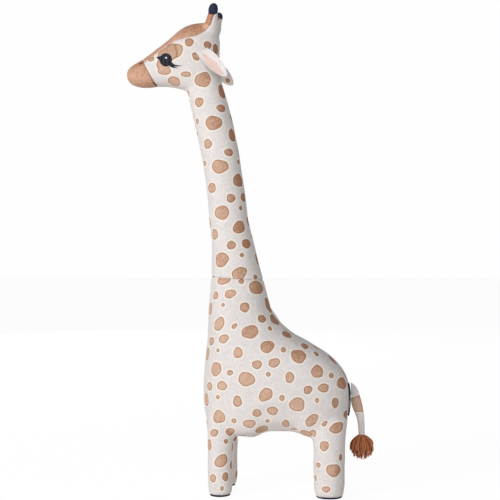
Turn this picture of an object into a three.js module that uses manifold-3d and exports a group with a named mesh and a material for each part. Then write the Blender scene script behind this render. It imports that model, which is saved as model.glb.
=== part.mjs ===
// A plush giraffe that stands on four stuffed legs: a sewn cover of short-pile cloth panels over
// loose fibre stuffing, with flat soles, two horns with dark caps, two ears, a limp tail with a
// yarn tassel and an embroidered face.
//
// Units are millimetres. X runs from the muzzle (-X) to the tail (+X), Y from the toy's left side
// (-Y) to its right side (+Y), and Z up from the floor. The origin is on the floor, under the
// middle of the toy.
//
// Every cover is the gap between two copies of one smooth form, the inner copy smaller by the
// cloth, and the stuffing is a third copy that is smaller again by a small gap. Soft stretches
// that flex meet on a ball: the lower one ends in a dome, and the upper one in a dish round it.
import * as THREE from "three";
import { mergeVertices } from "three/addons/utils/BufferGeometryUtils.js";
import Module from "manifold-3d";

// Cloth, stuffing and the room between pieces
const clothThickness = 1.6;
const seamGap = 0.3;
const cutOverrun = 5;
const ringPoints = 14;
const slimRingPoints = 12;
const ballPoints = 32;
const smallBallPoints = 16;
const curveSteps = 6;
const clothRoundness = 2.2;
const leastShare = 0.15;

// Trunk
const bellyHeight = 78;
const trunkLength = 201;
const trunkWidth = 116;
const chestX = -63;
const trunkRoundness = 2.8;
const bellyArch = 7;
const bellyPanelWidth = 46;
const bellyPanelHeight = 34;

// Neck, from the ring seam above the shoulder to the ring where the head starts
const seamHeight = 295.5;
const seamX = -17.3;
const seamLength = 70.9;
const seamWidth = 68;
const neckLength = 248;
const neckLean = 40.6;
const neckTopLength = 53;
const neckTopWidth = 51;
const neckPivotDrop = 30;
const headPivotDrop = 20;

// Head
const headReach = 111.7;
const chinRise = 11.3;
const headLength = 127.9;
const headHeight = 95.3;
const headWidth = 68;
const muzzleSeamSlope = 20;

// Face embroidery
const threadThickness = 0.8;
const eyeLength = 15.6;
const eyeHeight = 17.4;
const glintSize = 3;
const glintShare = 0.5;
const lashLength = 9.1;
const lashWidth = 2.2;
const innerLashLength = 4.3;
const nostrilLength = 9;
const nostrilWidth = 2;
const mouthLength = 8;
const mouthWidth = 1.4;

// Turns of the stitches, in radians from level
const lashTurns = [-0.38, -0.62];
const innerLashTurn = 2.85;
const nostrilTurn = 0.55;
const mouthTurn = -0.45;

// Horns
const hornSpread = 32;
const hornTipSpread = 52;
const hornHeight = 14.4;
const hornBaseSize = 19;
const hornSink = 11;
const capHeight = 13.8;
const capSize = 13.4;

// Ears
const earLength = 48;
const earWidth = 22;
const earCloth = 1.8;
const liningCloth = 1.2;
const liningMargin = 2.2;
const earLift = 5.2;
const earRootGap = 0.6;

// Legs and feet
const frontLegInset = 26;
const frontLegSpread = 68;
const frontLegLength = 33;
const frontLegWidth = 38;
const rearLegInset = 27;
const rearLegSpread = 68;
const rearLegLength = 41.5;
const rearLegWidth = 43;
const legRoot = 26;
const legTuck = 8;
const soleThickness = 2;
const boardThickness = 2.2;

// Tail, tassel and seam label
const tailRise = 63.2;
const tailReach = 13.3;
const tailDrop = 64;
const tailWidth = 18;
const tailThickness = 6.6;
const tailBallSize = 11.4;
const tasselLength = 33.8;
const tasselWidth = 30;
const tasselBallSize = 10;
const labelHeight = 44;
const labelReach = 10;
const labelThickness = 1.1;
const labelRise = 9.5;

// Worked out from the sizes above
const rumpX = chestX + trunkLength;
const shoulderHeight = seamHeight - bellyHeight;
const neckTopX = seamX - neckLean;
const neckTopHeight = seamHeight + neckLength;
const muzzleTipX = neckTopX - headReach;
const chinHeight = neckTopHeight + chinRise;
const frontLegX = chestX + frontLegInset;
const rearLegX = rumpX - rearLegInset;
const tailRootHeight = bellyHeight + tailRise;
const coverBottom = soleThickness + seamGap;
const boardTop = coverBottom + boardThickness;
const neckPivot = new THREE.Vector3(seamX, 0, seamHeight - neckPivotDrop);
const headPivot = new THREE.Vector3(neckTopX, 0, neckTopHeight - headPivotDrop);
const neckBallRadius = Math.hypot(seamLength / 2, neckPivotDrop);
const headBallRadius = Math.hypot(neckTopLength / 2, headPivotDrop);
const everything = 2 * (neckTopHeight + headHeight);

// Body rings from the belly up to the neck seam: height above the belly, front and back as shares
// of the trunk's length, width, and how boxy the ring is
const bodyShares = [
  [0.006, 0.16, 0.86, 0.52, 1],
  [0.037, 0.07, 0.945, 0.79, 1],
  [0.092, 0.02, 0.985, 0.93, 1],
  [0.188, 0, 1, 0.985, 1],
  [0.34, 0, 1, 1, 1],
  [0.443, 0.007, 0.946, 1, 0.9],
  [0.52, 0.018, 0.86, 0.975, 0.75],
  [0.57, 0.025, 0.759, 0.945, 0.6],
  [0.622, 0.031, 0.642, 0.905, 0.45],
  [0.698, 0.035, 0.538, 0.83, 0.3],
  [0.8, 0.031, 0.465, 0.73, 0.15],
  [0.902, 0.042, 0.434, 0.645, 0],
  [1, 0.051, 0.404, 0.586, 0],
];

// The belly's arch: where it starts and ends along the trunk, how far up the trunk it fades out, and
// how much of its length is slope at each end
const archShares = { start: 0.34, end: 0.72, fade: 0.4, slope: 0.4 };

// Neck rings: height, lean, and how far the ring has gone from the neck's top size (0) to its
// size at the shoulder seam (1)
const neckShares = [
  [-0.15, -0.02, 1.06],
  [0, 0, 1],
  [0.05, 0.035, 0.82],
  [0.093, 0.067, 0.6],
  [0.183, 0.135, 0.3],
  [0.272, 0.236, 0.13],
  [0.362, 0.305, 0],
  [0.541, 0.426, -0.06],
  [0.72, 0.613, -0.02],
  [0.855, 0.785, 0.05],
  [0.988, 0.988, -0.02],
  [1.1, 1.14, -0.2],
  [1.2, 1.2, -0.6],
];

// Head rings from the muzzle's tip to the back of the head: place along the head, top and bottom
// of the ring as shares of the head's height above the chin, and width
const headShares = [
  [0, 0.25, 0.19, 0.07],
  [0.015, 0.325, 0.14, 0.28],
  [0.055, 0.37, 0.075, 0.47],
  [0.12, 0.42, 0.04, 0.58],
  [0.214, 0.489, 0.043, 0.63],
  [0.3, 0.565, 0.07, 0.68],
  [0.41, 0.685, 0.068, 0.83],
  [0.52, 0.83, 0.04, 0.95],
  [0.615, 0.93, 0.009, 1],
  [0.72, 0.977, -0.04, 0.985],
  [0.83, 0.993, -0.1, 0.9],
  [0.92, 0.985, -0.05, 0.74],
  [0.98, 0.9, 0.2, 0.46],
  [1, 0.73, 0.48, 0.18],
];

// The seam between the forehead panel and the cheeks, seen from the side, in shares of the head
const foreheadSeamShares = [
  [0.16, 0.35],
  [0.202, 0.418],
  [0.3, 0.528],
  [0.393, 0.613],
  [0.476, 0.696],
  [0.539, 0.745],
  [0.642, 0.766],
  [0.745, 0.8],
  [0.829, 0.863],
  [0.892, 0.933],
  [0.938, 1.03],
];
const muzzleSeamPlaceShares = [0.202, 0.418];
const eyePlaceShares = [0.451, 0.387];
const nostrilPlaceShares = [0.15, 0.22];
const mouthPlaceShares = [0.262, 0.07];
const hornPlaceShares = [0.945, 0.93];
const earPlaceShares = [0.861, 0.49];

// Leg rings from the floor to the root inside the trunk: height, length, width, and how far the
// leg has tucked in under the body
const legShares = [
  [0, 0.8, 0.8, 0],
  [0.04, 0.95, 0.95, 0],
  [0.1, 1.01, 1.01, 0],
  [0.5, 1, 1, 0],
  [0.75, 1.05, 1, 0.3],
  [1, 1.25, 0.9, 1],
];
const soleShare = 0.84;

// Horn and cap rings: height, and size, and the place of the horn's side seam behind its middle
const hornSeamShare = 0.1;
const hornSideShares = [
  [0, 1],
  [0.6, 0.8],
  [1, 0.68],
];
const capSideShares = [
  [0, 0.9],
  [0.3, 1],
  [0.65, 0.88],
  [0.9, 0.52],
  [1, 0.14],
];

// Half of the ear's leaf outline: place along the ear, and width
const earOutlineShares = [
  [0, 0.3],
  [0.12, 0.62],
  [0.3, 0.92],
  [0.5, 1],
  [0.7, 0.86],
  [0.86, 0.58],
  [0.96, 0.26],
];
const earDirection = new THREE.Vector3(0.667, -0.23, -0.708).normalize();
const earAcross = new THREE.Vector3(0.7, -0.06, 0.71).normalize();

// Tail rings from the root down: reach, drop, height of the flattened tube, and its turn from
// upright (0) to level (1)
const tailShares = [
  [0, 0, 1, 0],
  [0.29, 0.07, 0.82, 0.33],
  [0.47, 0.205, 0.73, 0.5],
  [0.64, 0.34, 0.64, 0.74],
  [0.79, 0.47, 0.56, 0.84],
  [0.93, 0.6, 0.505, 0.97],
  [0.98, 0.735, 0.48, 1],
  [1, 0.91, 0.483, 1],
  [1, 1, 0.5, 1],
];
const tailKinkShares = [0.71, 0.405];
const tasselPivotShare = 0.965;

// Tassel rings from the tie down: height, and width
const tasselShares = [
  [0, 0.34],
  [0.12, 0.56],
  [0.28, 0.84],
  [0.46, 1],
  [0.64, 1],
  [0.82, 0.84],
  [0.95, 0.55],
  [1, 0.3],
];

const wasm = await Module();
wasm.setup();

const cream = new THREE.MeshStandardMaterial({ color: 0xe6e0dc, roughness: 0.95 });
const caramel = new THREE.MeshStandardMaterial({ color: 0xc4906b, roughness: 0.95 });
const peach = new THREE.MeshStandardMaterial({ color: 0xf3d6c8, roughness: 0.95 });
const navy = new THREE.MeshStandardMaterial({ color: 0x23263a, roughness: 0.9 });
const black = new THREE.MeshStandardMaterial({ color: 0x15151b, roughness: 0.7 });
const white = new THREE.MeshStandardMaterial({ color: 0xf8f8f8, roughness: 0.8 });
const darkBrown = new THREE.MeshStandardMaterial({ color: 0x4b2f25, roughness: 0.8 });
const yarnBrown = new THREE.MeshStandardMaterial({ color: 0xa35f38, roughness: 0.9 });
const fibre = new THREE.MeshStandardMaterial({ color: 0xf2f2f0, roughness: 1 });
const greyBoard = new THREE.MeshStandardMaterial({ color: 0xa79b8a, roughness: 0.9 });

// A number that lies between two others by a share.
function mix(from, to, share) {
  return from + (to - from) * share;
}

// The row of a table of shares at a place between its rows, which start with that place.
function rowAt(rows, place) {
  const after = Math.max(1, rows.findIndex((row) => row[0] >= place));
  const [low, high] = [rows[after - 1], rows[after]];
  const share = (place - low[0]) / (high[0] - low[0]);
  return low.map((value, column) => mix(value, high[column], share));
}

// A solid that can be cut and joined, from a closed geometry.
function solidOf(geometry) {
  const bare = geometry.index ? geometry.toNonIndexed() : geometry.clone();
  for (const name of Object.keys(bare.attributes)) {
    if (name !== "position") bare.deleteAttribute(name);
  }
  const merged = mergeVertices(bare);
  const corners = new Uint32Array(merged.index.array);
  const vertProperties = merged.attributes.position.array;
  const made = new wasm.Manifold(new wasm.Mesh({ numProp: 3, vertProperties, triVerts: corners }));
  if (made.volume() > 0) return made;
  const turned = corners.slice();
  for (let i = 0; i < turned.length; i += 3) {
    [turned[i + 1], turned[i + 2]] = [corners[i + 2], corners[i + 1]];
  }
  return new wasm.Manifold(new wasm.Mesh({ numProp: 3, vertProperties, triVerts: turned }));
}

// The named mesh of a solid, without any loose crumb that a cut has left beside it.
function meshOf(name, solid, material) {
  const largest = solid.decompose().reduce((a, b) => (a.volume() > b.volume() ? a : b));
  const made = largest.getMesh();
  const points = new Float32Array(made.numVert * 3);
  for (let i = 0; i < made.numVert; i++) {
    points.set(made.vertProperties.subarray(i * made.numProp, i * made.numProp + 3), i * 3);
  }
  const geometry = new THREE.BufferGeometry();
  geometry.setAttribute("position", new THREE.BufferAttribute(points, 3));
  geometry.setIndex(new THREE.BufferAttribute(made.triVerts, 1));
  geometry.computeVertexNormals();
  const mesh = new THREE.Mesh(geometry, material);
  mesh.name = name;
  return mesh;
}

// A closed skin over rings of points, fanned shut at both ends.
function loft(rings) {
  const count = rings[0].length;
  const points = rings.flat();
  const faces = [];
  for (let ring = 0; ring + 1 < rings.length; ring++) {
    for (let i = 0; i < count; i++) {
      const next = (i + 1) % count;
      const [a, b] = [ring * count + i, ring * count + next];
      faces.push(a, b, b + count, a, b + count, a + count);
    }
  }
  for (const ring of [0, rings.length - 1]) {
    const middle = new THREE.Vector3();
    rings[ring].forEach((point) => middle.addScaledVector(point, 1 / count));
    const tip = points.push(middle) - 1;
    for (let i = 0; i < count; i++) {
      const [a, b] = [ring * count + i, ring * count + ((i + 1) % count)];
      if (ring) faces.push(a, b, tip);
      else faces.push(b, a, tip);
    }
  }
  const geometry = new THREE.BufferGeometry().setFromPoints(points);
  geometry.setIndex(faces);
  return solidOf(geometry);
}

// A rounded ring round a middle, across two directions.
function ringOf(middle, along, across, halfAlong, halfAcross, count, roundness = clothRoundness) {
  const swell = (value) => Math.sign(value) * Math.abs(value) ** (2 / roundness);
  return Array.from({ length: count }, (_, i) => {
    const angle = (2 * Math.PI * i) / count;
    return middle
      .clone()
      .addScaledVector(along, halfAlong * swell(Math.cos(angle)))
      .addScaledVector(across, halfAcross * swell(Math.sin(angle)));
  });
}

const axisX = new THREE.Vector3(1, 0, 0);
const axisY = new THREE.Vector3(0, 1, 0);
const axisZ = new THREE.Vector3(0, 0, 1);

// A half size that is drawn in by an inset, but never to nothing.
function drawnIn(half, inset) {
  return Math.max(half - inset, half * leastShare);
}

// An upright ring across the toy at a place along it.
function uprightRing(x, top, bottom, width, inset) {
  const middle = new THREE.Vector3(x, 0, (top + bottom) / 2);
  const [halfHeight, halfWidth] = [drawnIn((top - bottom) / 2, inset), drawnIn(width / 2, inset)];
  return ringOf(middle, axisZ, axisY, halfHeight, halfWidth, ringPoints);
}

// A level ring at a height.
function levelRing(x, y, z, length, width, inset, count = ringPoints, roundness = clothRoundness) {
  const middle = new THREE.Vector3(x, y, z);
  const [halfLength, halfWidth] = [drawnIn(length / 2, inset), drawnIn(width / 2, inset)];
  return ringOf(middle, axisX, axisY, halfLength, halfWidth, count, roundness);
}

// The block on the far side of a plane that faces along a direction.
function beyond(point, direction) {
  const block = new THREE.BoxGeometry(everything, everything, everything);
  const turn = new THREE.Quaternion().setFromUnitVectors(axisZ, direction.clone().normalize());
  block.translate(0, 0, everything / 2).applyQuaternion(turn);
  block.translate(point.x, point.y, point.z);
  return solidOf(block);
}

function ball(middle, radius, points) {
  const sphere = new THREE.SphereGeometry(radius, points, points / 2);
  return solidOf(sphere.translate(middle.x, middle.y, middle.z));
}

// An outline in the XZ plane made into a block right across the toy.
function sideBlock(points) {
  const outline = new THREE.Shape(points.map(([x, z]) => new THREE.Vector2(x, z)));
  const block = new THREE.ExtrudeGeometry(outline, { depth: everything, bevelEnabled: false });
  return solidOf(block.translate(0, 0, -everything / 2).rotateX(Math.PI / 2));
}

const leftHalf = beyond(new THREE.Vector3(0, -seamGap / 2, 0), axisY.clone().negate());
const rightHalf = beyond(new THREE.Vector3(0, seamGap / 2, 0), axisY);
const halves = [
  { side: "left", sign: -1, half: leftHalf },
  { side: "right", sign: 1, half: rightHalf },
];

function neckRings(inset, shares) {
  return shares.map(([height, lean, flare]) => {
    const length = mix(neckTopLength, seamLength, flare);
    const width = mix(neckTopWidth, seamWidth, flare);
    const x = seamX - neckLean * lean;
    return levelRing(x, 0, seamHeight + neckLength * height, length, width, inset);
  });
}

function neckForm(inset) {
  return loft(neckRings(inset, neckShares));
}

const neckBall = ball(neckPivot, neckBallRadius, ballPoints);
const neckDish = ball(neckPivot, neckBallRadius + seamGap, ballPoints);
const headBall = ball(headPivot, headBallRadius, ballPoints);
const headDish = ball(headPivot, headBallRadius + seamGap, ballPoints);
const aboveNeckBall = beyond(neckPivot, axisZ).subtract(neckBall);
const aboveHeadBall = beyond(headPivot, axisZ).subtract(headBall);

// How far the belly arches up between the legs, at a place along the toy and up the trunk.
function archRise(x, height) {
  const { start, end, fade, slope } = archShares;
  const share = ((x - chestX) / trunkLength - start) / (end - start);
  const along = THREE.MathUtils.smoothstep(Math.min(share, 1 - share), 0, slope);
  return bellyArch * along * (1 - THREE.MathUtils.smoothstep(height, 0, fade));
}

function bodyShape(inset) {
  const trunkRings = bodyShares.map(([height, front, back, width, boxiness]) => {
    const [low, high] = [chestX + trunkLength * front, chestX + trunkLength * back];
    const z = bellyHeight + inset + (shoulderHeight - inset) * height;
    const roundness = mix(clothRoundness, trunkRoundness, boxiness);
    const [length, across] = [high - low, trunkWidth * width];
    const level = levelRing((low + high) / 2, 0, z, length, across, inset, ringPoints, roundness);
    return level.map((point) => point.addScaledVector(axisZ, archRise(point.x, height)));
  });
  const shoulderRings = neckRings(inset, neckShares.filter(([height]) => height > 0));
  return loft([...trunkRings, ...shoulderRings]);
}

const bodyCavity = bodyShape(clothThickness);
const bodyCover = bodyShape(0).subtract(bodyCavity).subtract(aboveNeckBall);
const bodyStuffing = bodyShape(clothThickness + seamGap).subtract(aboveNeckBall);
const bodyClearance = bodyShape(-seamGap);

// One leg at a corner of the toy, from a height down by the floor up to its root in the trunk.
function legForm(leg, inset, bottom) {
  const top = bellyHeight + legRoot;
  const heights = [bottom, ...legShares.map(([height]) => top * height).filter((z) => z > bottom)];
  return loft(
    heights.map((z) => {
      const [, length, width, tuck] = rowAt(legShares, Math.max(0, z / top));
      const y = leg.y - Math.sign(leg.y) * legTuck * tuck;
      return levelRing(leg.x, y, z, leg.length * length, leg.width * width, inset, slimRingPoints);
    }),
  );
}

const legs = halves.flatMap(({ side, sign }) => [
  {
    name: `front_${side}`,
    x: frontLegX,
    y: (sign * frontLegSpread) / 2,
    length: frontLegLength,
    width: frontLegWidth,
  },
  {
    name: `rear_${side}`,
    x: rearLegX,
    y: (sign * rearLegSpread) / 2,
    length: rearLegLength,
    width: rearLegWidth,
  },
]);

// A flat disc of a leg's outline, drawn in by an inset.
function footDisc(leg, bottom, top, inset) {
  const [length, width] = [leg.length * soleShare, leg.width * soleShare];
  return loft(
    [bottom, top].map((z) => levelRing(leg.x, leg.y, z, length, width, inset, slimRingPoints)),
  );
}

function legMeshes(leg) {
  const outer = legForm(leg, 0, coverBottom);
  const cavity = legForm(leg, clothThickness, -cutOverrun);
  const filling = legForm(leg, clothThickness + seamGap, boardTop + seamGap);
  const boardInset = clothThickness + seamGap;
  return [
    meshOf(`${leg.name}_leg_cover`, outer.subtract(cavity).subtract(bodyClearance), cream),
    meshOf(`${leg.name}_leg_stuffing`, filling.subtract(bodyCavity), fibre),
    meshOf(`${leg.name}_sole_board`, footDisc(leg, coverBottom, boardTop, boardInset), greyBoard),
    meshOf(`${leg.name}_sole`, footDisc(leg, 0, soleThickness, 0), navy),
  ];
}

// A pointed oval under the belly, drawn out by a margin, up to a height.
function bellyBlock(margin) {
  const [front, back] = [chestX + bellyPanelWidth / 4 - margin, rumpX - bellyPanelWidth / 4 + margin];
  const half = bellyPanelWidth / 2 + margin;
  const outline = new THREE.Shape();
  outline.moveTo(front, 0);
  outline.quadraticCurveTo(frontLegX, half, (front + back) / 2, half);
  outline.quadraticCurveTo(rearLegX, half, back, 0);
  outline.quadraticCurveTo(rearLegX, -half, (front + back) / 2, -half);
  outline.quadraticCurveTo(frontLegX, -half, front, 0);
  const depth = bellyHeight + bellyPanelHeight + margin;
  const options = { depth, bevelEnabled: false, curveSegments: curveSteps };
  return solidOf(new THREE.ExtrudeGeometry(outline, options));
}

function bodyMeshes() {
  let cover = bodyCover;
  for (const leg of legs) {
    cover = cover.subtract(legForm(leg, clothThickness, coverBottom));
  }
  const sides = cover.subtract(bellyBlock(seamGap));
  return [
    ...halves.map(({ side, half }) => meshOf(`body_${side}_panel`, sides.intersect(half), cream)),
    meshOf("belly_panel", cover.intersect(bellyBlock(0)), cream),
    meshOf("body_stuffing", bodyStuffing, fibre),
  ];
}

function neckMeshes() {
  const trimmed = (inset) => neckForm(inset).subtract(neckDish).subtract(aboveHeadBall);
  const cover = trimmed(0).subtract(neckForm(clothThickness));
  return [
    ...halves.map(({ side, half }) => meshOf(`neck_${side}_panel`, cover.intersect(half), cream)),
    meshOf("neck_stuffing", trimmed(clothThickness + seamGap), fibre),
  ];
}

// A place on the head, in shares of its length and height.
function headPlace([along, up]) {
  return new THREE.Vector3(muzzleTipX + headLength * along, 0, chinHeight + headHeight * up);
}

function headShape(inset) {
  const skull = loft(
    headShares.map(([along, top, bottom, width]) => {
      const x = muzzleTipX + inset + (headLength - 2 * inset) * along;
      const high = chinHeight + headHeight * top;
      const low = chinHeight + headHeight * bottom;
      return uprightRing(x, high, low, headWidth * width, inset);
    }),
  );
  return skull.add(neckForm(inset).intersect(beyond(headPivot, axisZ)));
}

const headClearance = headShape(-seamGap);
const threadLayer = headShape(-seamGap - threadThickness).subtract(headClearance);

function headMeshes() {
  const cover = headShape(0).subtract(headShape(clothThickness)).subtract(headDish);
  const slope = THREE.MathUtils.degToRad(muzzleSeamSlope);
  const forward = new THREE.Vector3(-Math.cos(slope), 0, -Math.sin(slope));
  const seam = headPlace(muzzleSeamPlaceShares);
  const beforeSeam = beyond(seam, forward);
  const behindSeam = beyond(seam.clone().addScaledVector(forward, -seamGap), forward.clone().negate());
  const edge = foreheadSeamShares.map((place) => headPlace(place));
  const [first, last] = [edge[0], edge[edge.length - 1]];
  const roof = (drop) =>
    sideBlock([
      ...edge.map(({ x, z }) => [x, z - drop]),
      [last.x, everything],
      [first.x, everything],
    ]);
  const skin = cover.intersect(behindSeam);
  const cheeks = skin.subtract(roof(seamGap));
  return [
    ...halves.map(({ side, half }) => meshOf(`head_${side}_panel`, cheeks.intersect(half), cream)),
    meshOf("forehead_panel", skin.intersect(roof(0)), caramel),
    meshOf("muzzle_panel", cover.intersect(beforeSeam), caramel),
    meshOf("head_stuffing", headShape(clothThickness + seamGap).subtract(headDish), fibre),
  ];
}

// An oval block across the toy, with its middle at a place on the head and turned in the XZ plane.
function ovalBlock(place, length, height, turn = 0) {
  const oval = new THREE.EllipseCurve(0, 0, length / 2, height / 2, 0, 2 * Math.PI, false, turn);
  return sideBlock(oval.getPoints(slimRingPoints).slice(1).map(({ x, y }) => [place.x + x, place.z + y]));
}

// A tapered lash that leaves the eye at a turn from level.
function lashBlock(eye, turn, length) {
  const direction = new THREE.Vector2(Math.cos(turn), Math.sin(turn));
  const side = new THREE.Vector2(-direction.y, direction.x).multiplyScalar(lashWidth / 2);
  const root = new THREE.Vector2(eye.x, eye.z).addScaledVector(direction, eyeLength / 4);
  const tip = new THREE.Vector2(eye.x, eye.z).addScaledVector(direction, eyeLength / 2 + length);
  const corners = [root.clone().add(side), tip, root.clone().sub(side)];
  return sideBlock(corners.map(({ x, y }) => [x, y]));
}

function faceMeshes({ side, half, sign }) {
  const eye = headPlace(eyePlaceShares);
  const innerLash = lashBlock(eye, innerLashTurn, innerLashLength);
  let patch = ovalBlock(eye, eyeLength, eyeHeight).add(innerLash);
  for (const turn of lashTurns) {
    patch = patch.add(lashBlock(eye, turn, lashLength));
  }
  const glintPlace = eye.clone().add(new THREE.Vector3(glintSize * glintShare, 0, glintSize));
  const hole = ovalBlock(glintPlace, glintSize + 2 * seamGap, glintSize + 2 * seamGap);
  const glint = ovalBlock(glintPlace, glintSize, glintSize);
  const mouth = ovalBlock(headPlace(mouthPlaceShares), mouthLength, mouthWidth, mouthTurn);
  const nostrilHalf = nostrilWidth / 2;
  const nostril = new THREE.CylinderGeometry(nostrilHalf, nostrilHalf, headHeight, slimRingPoints);
  nostril.rotateX(Math.PI / 2).scale(nostrilLength / nostrilWidth, 1, 1).rotateZ(sign * nostrilTurn);
  const top = headPlace([nostrilPlaceShares[0], 1]);
  nostril.translate(top.x, (sign * nostrilPlaceShares[1] * headWidth) / 2, top.z - headHeight / 2);
  const sew = (block) => threadLayer.intersect(block).intersect(half);
  return [
    meshOf(`${side}_eye`, sew(patch.subtract(hole)), black),
    meshOf(`${side}_eye_glint`, sew(glint), white),
    meshOf(`${side}_nostril`, sew(solidOf(nostril)), darkBrown),
    meshOf(`${side}_mouth_stitch`, sew(mouth), darkBrown),
  ];
}

// Rows of rise and half size that a table of shares gives from a start, drawn in by an inset.
function profileOf(start, height, size, rows, inset) {
  return rows.map(([share, width]) => [start + height * share, drawnIn((size * width) / 2, inset)]);
}

// Round rings up a leaning axis, one for each row of a profile.
function leaningForm(foot, axis, profile) {
  const across = axis.clone().cross(axisX).normalize();
  const along = across.clone().cross(axis);
  return loft(
    profile.map(([rise, half]) => {
      const middle = foot.clone().addScaledVector(axis, rise);
      return ringOf(middle, along, across, half, half, slimRingPoints);
    }),
  );
}

function hornMeshes({ side, sign }) {
  const foot = headPlace(hornPlaceShares).setY((sign * hornSpread) / 2);
  const tip = foot.clone().setY((sign * hornTipSpread) / 2);
  tip.z += hornHeight;
  const axis = tip.clone().sub(foot).normalize();
  const root = foot.clone().addScaledVector(axis, -hornSink);
  const length = root.distanceTo(tip);
  const sleeve = (inset) => profileOf(0, length, hornBaseSize, hornSideShares, inset);
  const cap = (inset) => profileOf(length + seamGap, capHeight - inset, capSize, capSideShares, inset);
  const sleeveCavity = sleeve(clothThickness);
  sleeveCavity[sleeveCavity.length - 1][0] += cutOverrun;
  const capCavity = cap(clothThickness);
  capCavity[0][0] -= cutOverrun;
  const inner = clothThickness + seamGap;
  const grown = (profile) => leaningForm(root, axis, profile);
  const cover = grown(sleeve(0)).subtract(grown(sleeveCavity)).subtract(headClearance);
  const filling = grown([...sleeve(inner), ...cap(inner)]).subtract(headClearance);
  const split = foot.clone().add(new THREE.Vector3(hornBaseSize * hornSeamShare, 0, 0));
  const front = beyond(split, axisX.clone().negate());
  const back = beyond(split.clone().add(new THREE.Vector3(seamGap, 0, 0)), axisX);
  return [
    meshOf(`${side}_horn_front`, cover.intersect(front), caramel),
    meshOf(`${side}_horn_back`, cover.intersect(back), cream),
    meshOf(`${side}_horn_stuffing`, filling, fibre),
    meshOf(`${side}_horn_cap`, grown(cap(0)).subtract(grown(capCavity)), navy),
  ];
}

const earClearance = headShape(-earRootGap);

// A flat leaf of cloth that starts at a root and lies along the ear.
function earLeaf(root, direction, across, margin, thickness) {
  const half = (share) => Math.max((earWidth * share) / 2 - margin, earWidth * leastShare * share);
  const place = (share) => margin + (earLength - 2 * margin) * share;
  const edge = earOutlineShares.map(([along, width]) => [place(along), half(width)]);
  const outline = new THREE.Shape([
    ...edge.map(([along, width]) => new THREE.Vector2(along, width)),
    new THREE.Vector2(place(1), 0),
    ...edge.reverse().map(([along, width]) => new THREE.Vector2(along, -width)),
  ]);
  const leaf = new THREE.ExtrudeGeometry(outline, { depth: thickness, bevelEnabled: false });
  const facing = direction.clone().cross(across);
  leaf.applyMatrix4(new THREE.Matrix4().makeBasis(direction, across, facing));
  return solidOf(leaf.translate(root.x, root.y, root.z));
}

function earMeshes({ side, sign }) {
  const mirror = new THREE.Vector3(1, -sign, 1);
  const direction = earDirection.clone().multiply(mirror);
  const across = earAcross.clone().addScaledVector(earDirection, -earAcross.dot(earDirection));
  across.normalize().multiply(mirror);
  const outward = new THREE.Vector3().crossVectors(direction, across).multiplyScalar(-sign);
  const root = headPlace(earPlaceShares).setY(sign * (headWidth / 2 - earLift));
  const step = (distance) => root.clone().addScaledVector(outward, distance);
  const outer = earLeaf(step(sign < 0 ? 0 : earCloth), direction, across, 0, earCloth);
  const liningFoot = step(earCloth + seamGap + (sign < 0 ? 0 : liningCloth));
  const lining = earLeaf(liningFoot, direction, across, liningMargin, liningCloth);
  return [
    meshOf(`${side}_ear_outer`, outer.subtract(earClearance), cream),
    meshOf(`${side}_ear_lining`, lining.subtract(earClearance), peach),
  ];
}

const tailRootX = rumpX + seamGap + tailThickness / 2;
const tailPlace = (reach, drop) =>
  new THREE.Vector3(tailRootX + tailReach * reach, 0, tailRootHeight - tailDrop * drop);

function tailMeshes() {
  const form = loft(
    tailShares.map(([reach, drop, height, turn]) => {
      const angle = (turn * Math.PI) / 2;
      const up = new THREE.Vector3(Math.sin(angle), 0, Math.cos(angle));
      const half = (tailWidth * height) / 2;
      return ringOf(tailPlace(reach, drop), up, axisY, half, tailThickness / 2, slimRingPoints);
    }),
  );
  const kink = tailPlace(...tailKinkShares);
  const kinkRow = rowAt(tailShares.map(([reach, ...rest]) => [rest[0], ...rest]), tailKinkShares[1]);
  const kinkAngle = (kinkRow[3] * Math.PI) / 2;
  const downward = new THREE.Vector3(Math.cos(kinkAngle), 0, -Math.sin(kinkAngle));
  const tie = tailPlace(1, tasselPivotShare);
  const pastKink = beyond(kink, downward);
  const pastTie = beyond(tie, axisZ.clone().negate());
  const kinkBall = ball(kink, tailBallSize / 2, smallBallPoints);
  const kinkDish = ball(kink, tailBallSize / 2 + seamGap, smallBallPoints);
  const tieBall = ball(tie, tasselBallSize / 2, smallBallPoints);
  const tieDish = ball(tie, tasselBallSize / 2 + seamGap, smallBallPoints);
  const root = tailPlace(0, 0);
  const beadRadius = tailThickness / 2;
  const rootBead = new THREE.CylinderGeometry(beadRadius, beadRadius, tailWidth, smallBallPoints);
  const bead = solidOf(rootBead.rotateX(Math.PI / 2).translate(root.x, root.y, root.z));
  const upper = form.subtract(pastKink.subtract(kinkBall)).add(bead);
  const lower = form.intersect(pastKink).subtract(kinkDish);
  const tassel = loft(
    tasselShares.map(([height, width]) => {
      const z = tie.z - tasselLength * height;
      return levelRing(tie.x, 0, z, tasselWidth * width, tasselWidth * width, 0, slimRingPoints);
    }),
  );
  return [
    meshOf("tail_upper", upper, cream),
    meshOf("tail_lower", lower.subtract(pastTie.subtract(tieBall)), cream),
    meshOf("tassel", tassel.subtract(tieDish), yarnBrown),
  ];
}

// A folded ribbon in the back seam beside the tail, laid flat to the toy's left.
function labelMeshes() {
  const ribbon = new THREE.BoxGeometry(labelThickness, labelReach, labelHeight);
  const x = rumpX + seamGap + labelThickness / 2;
  const z = tailRootHeight + labelRise - labelHeight / 2;
  ribbon.translate(x, -tailThickness / 2 - seamGap - labelReach / 2, z);
  return [meshOf("seam_label", solidOf(ribbon), black)];
}

const giraffe = new THREE.Group();
giraffe.add(
  ...bodyMeshes(),
  ...legs.flatMap(legMeshes),
  ...neckMeshes(),
  ...headMeshes(),
  ...halves.flatMap(faceMeshes),
  ...halves.flatMap(hornMeshes),
  ...halves.flatMap(earMeshes),
  ...tailMeshes(),
  ...labelMeshes(),
);

export default giraffe;
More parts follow.
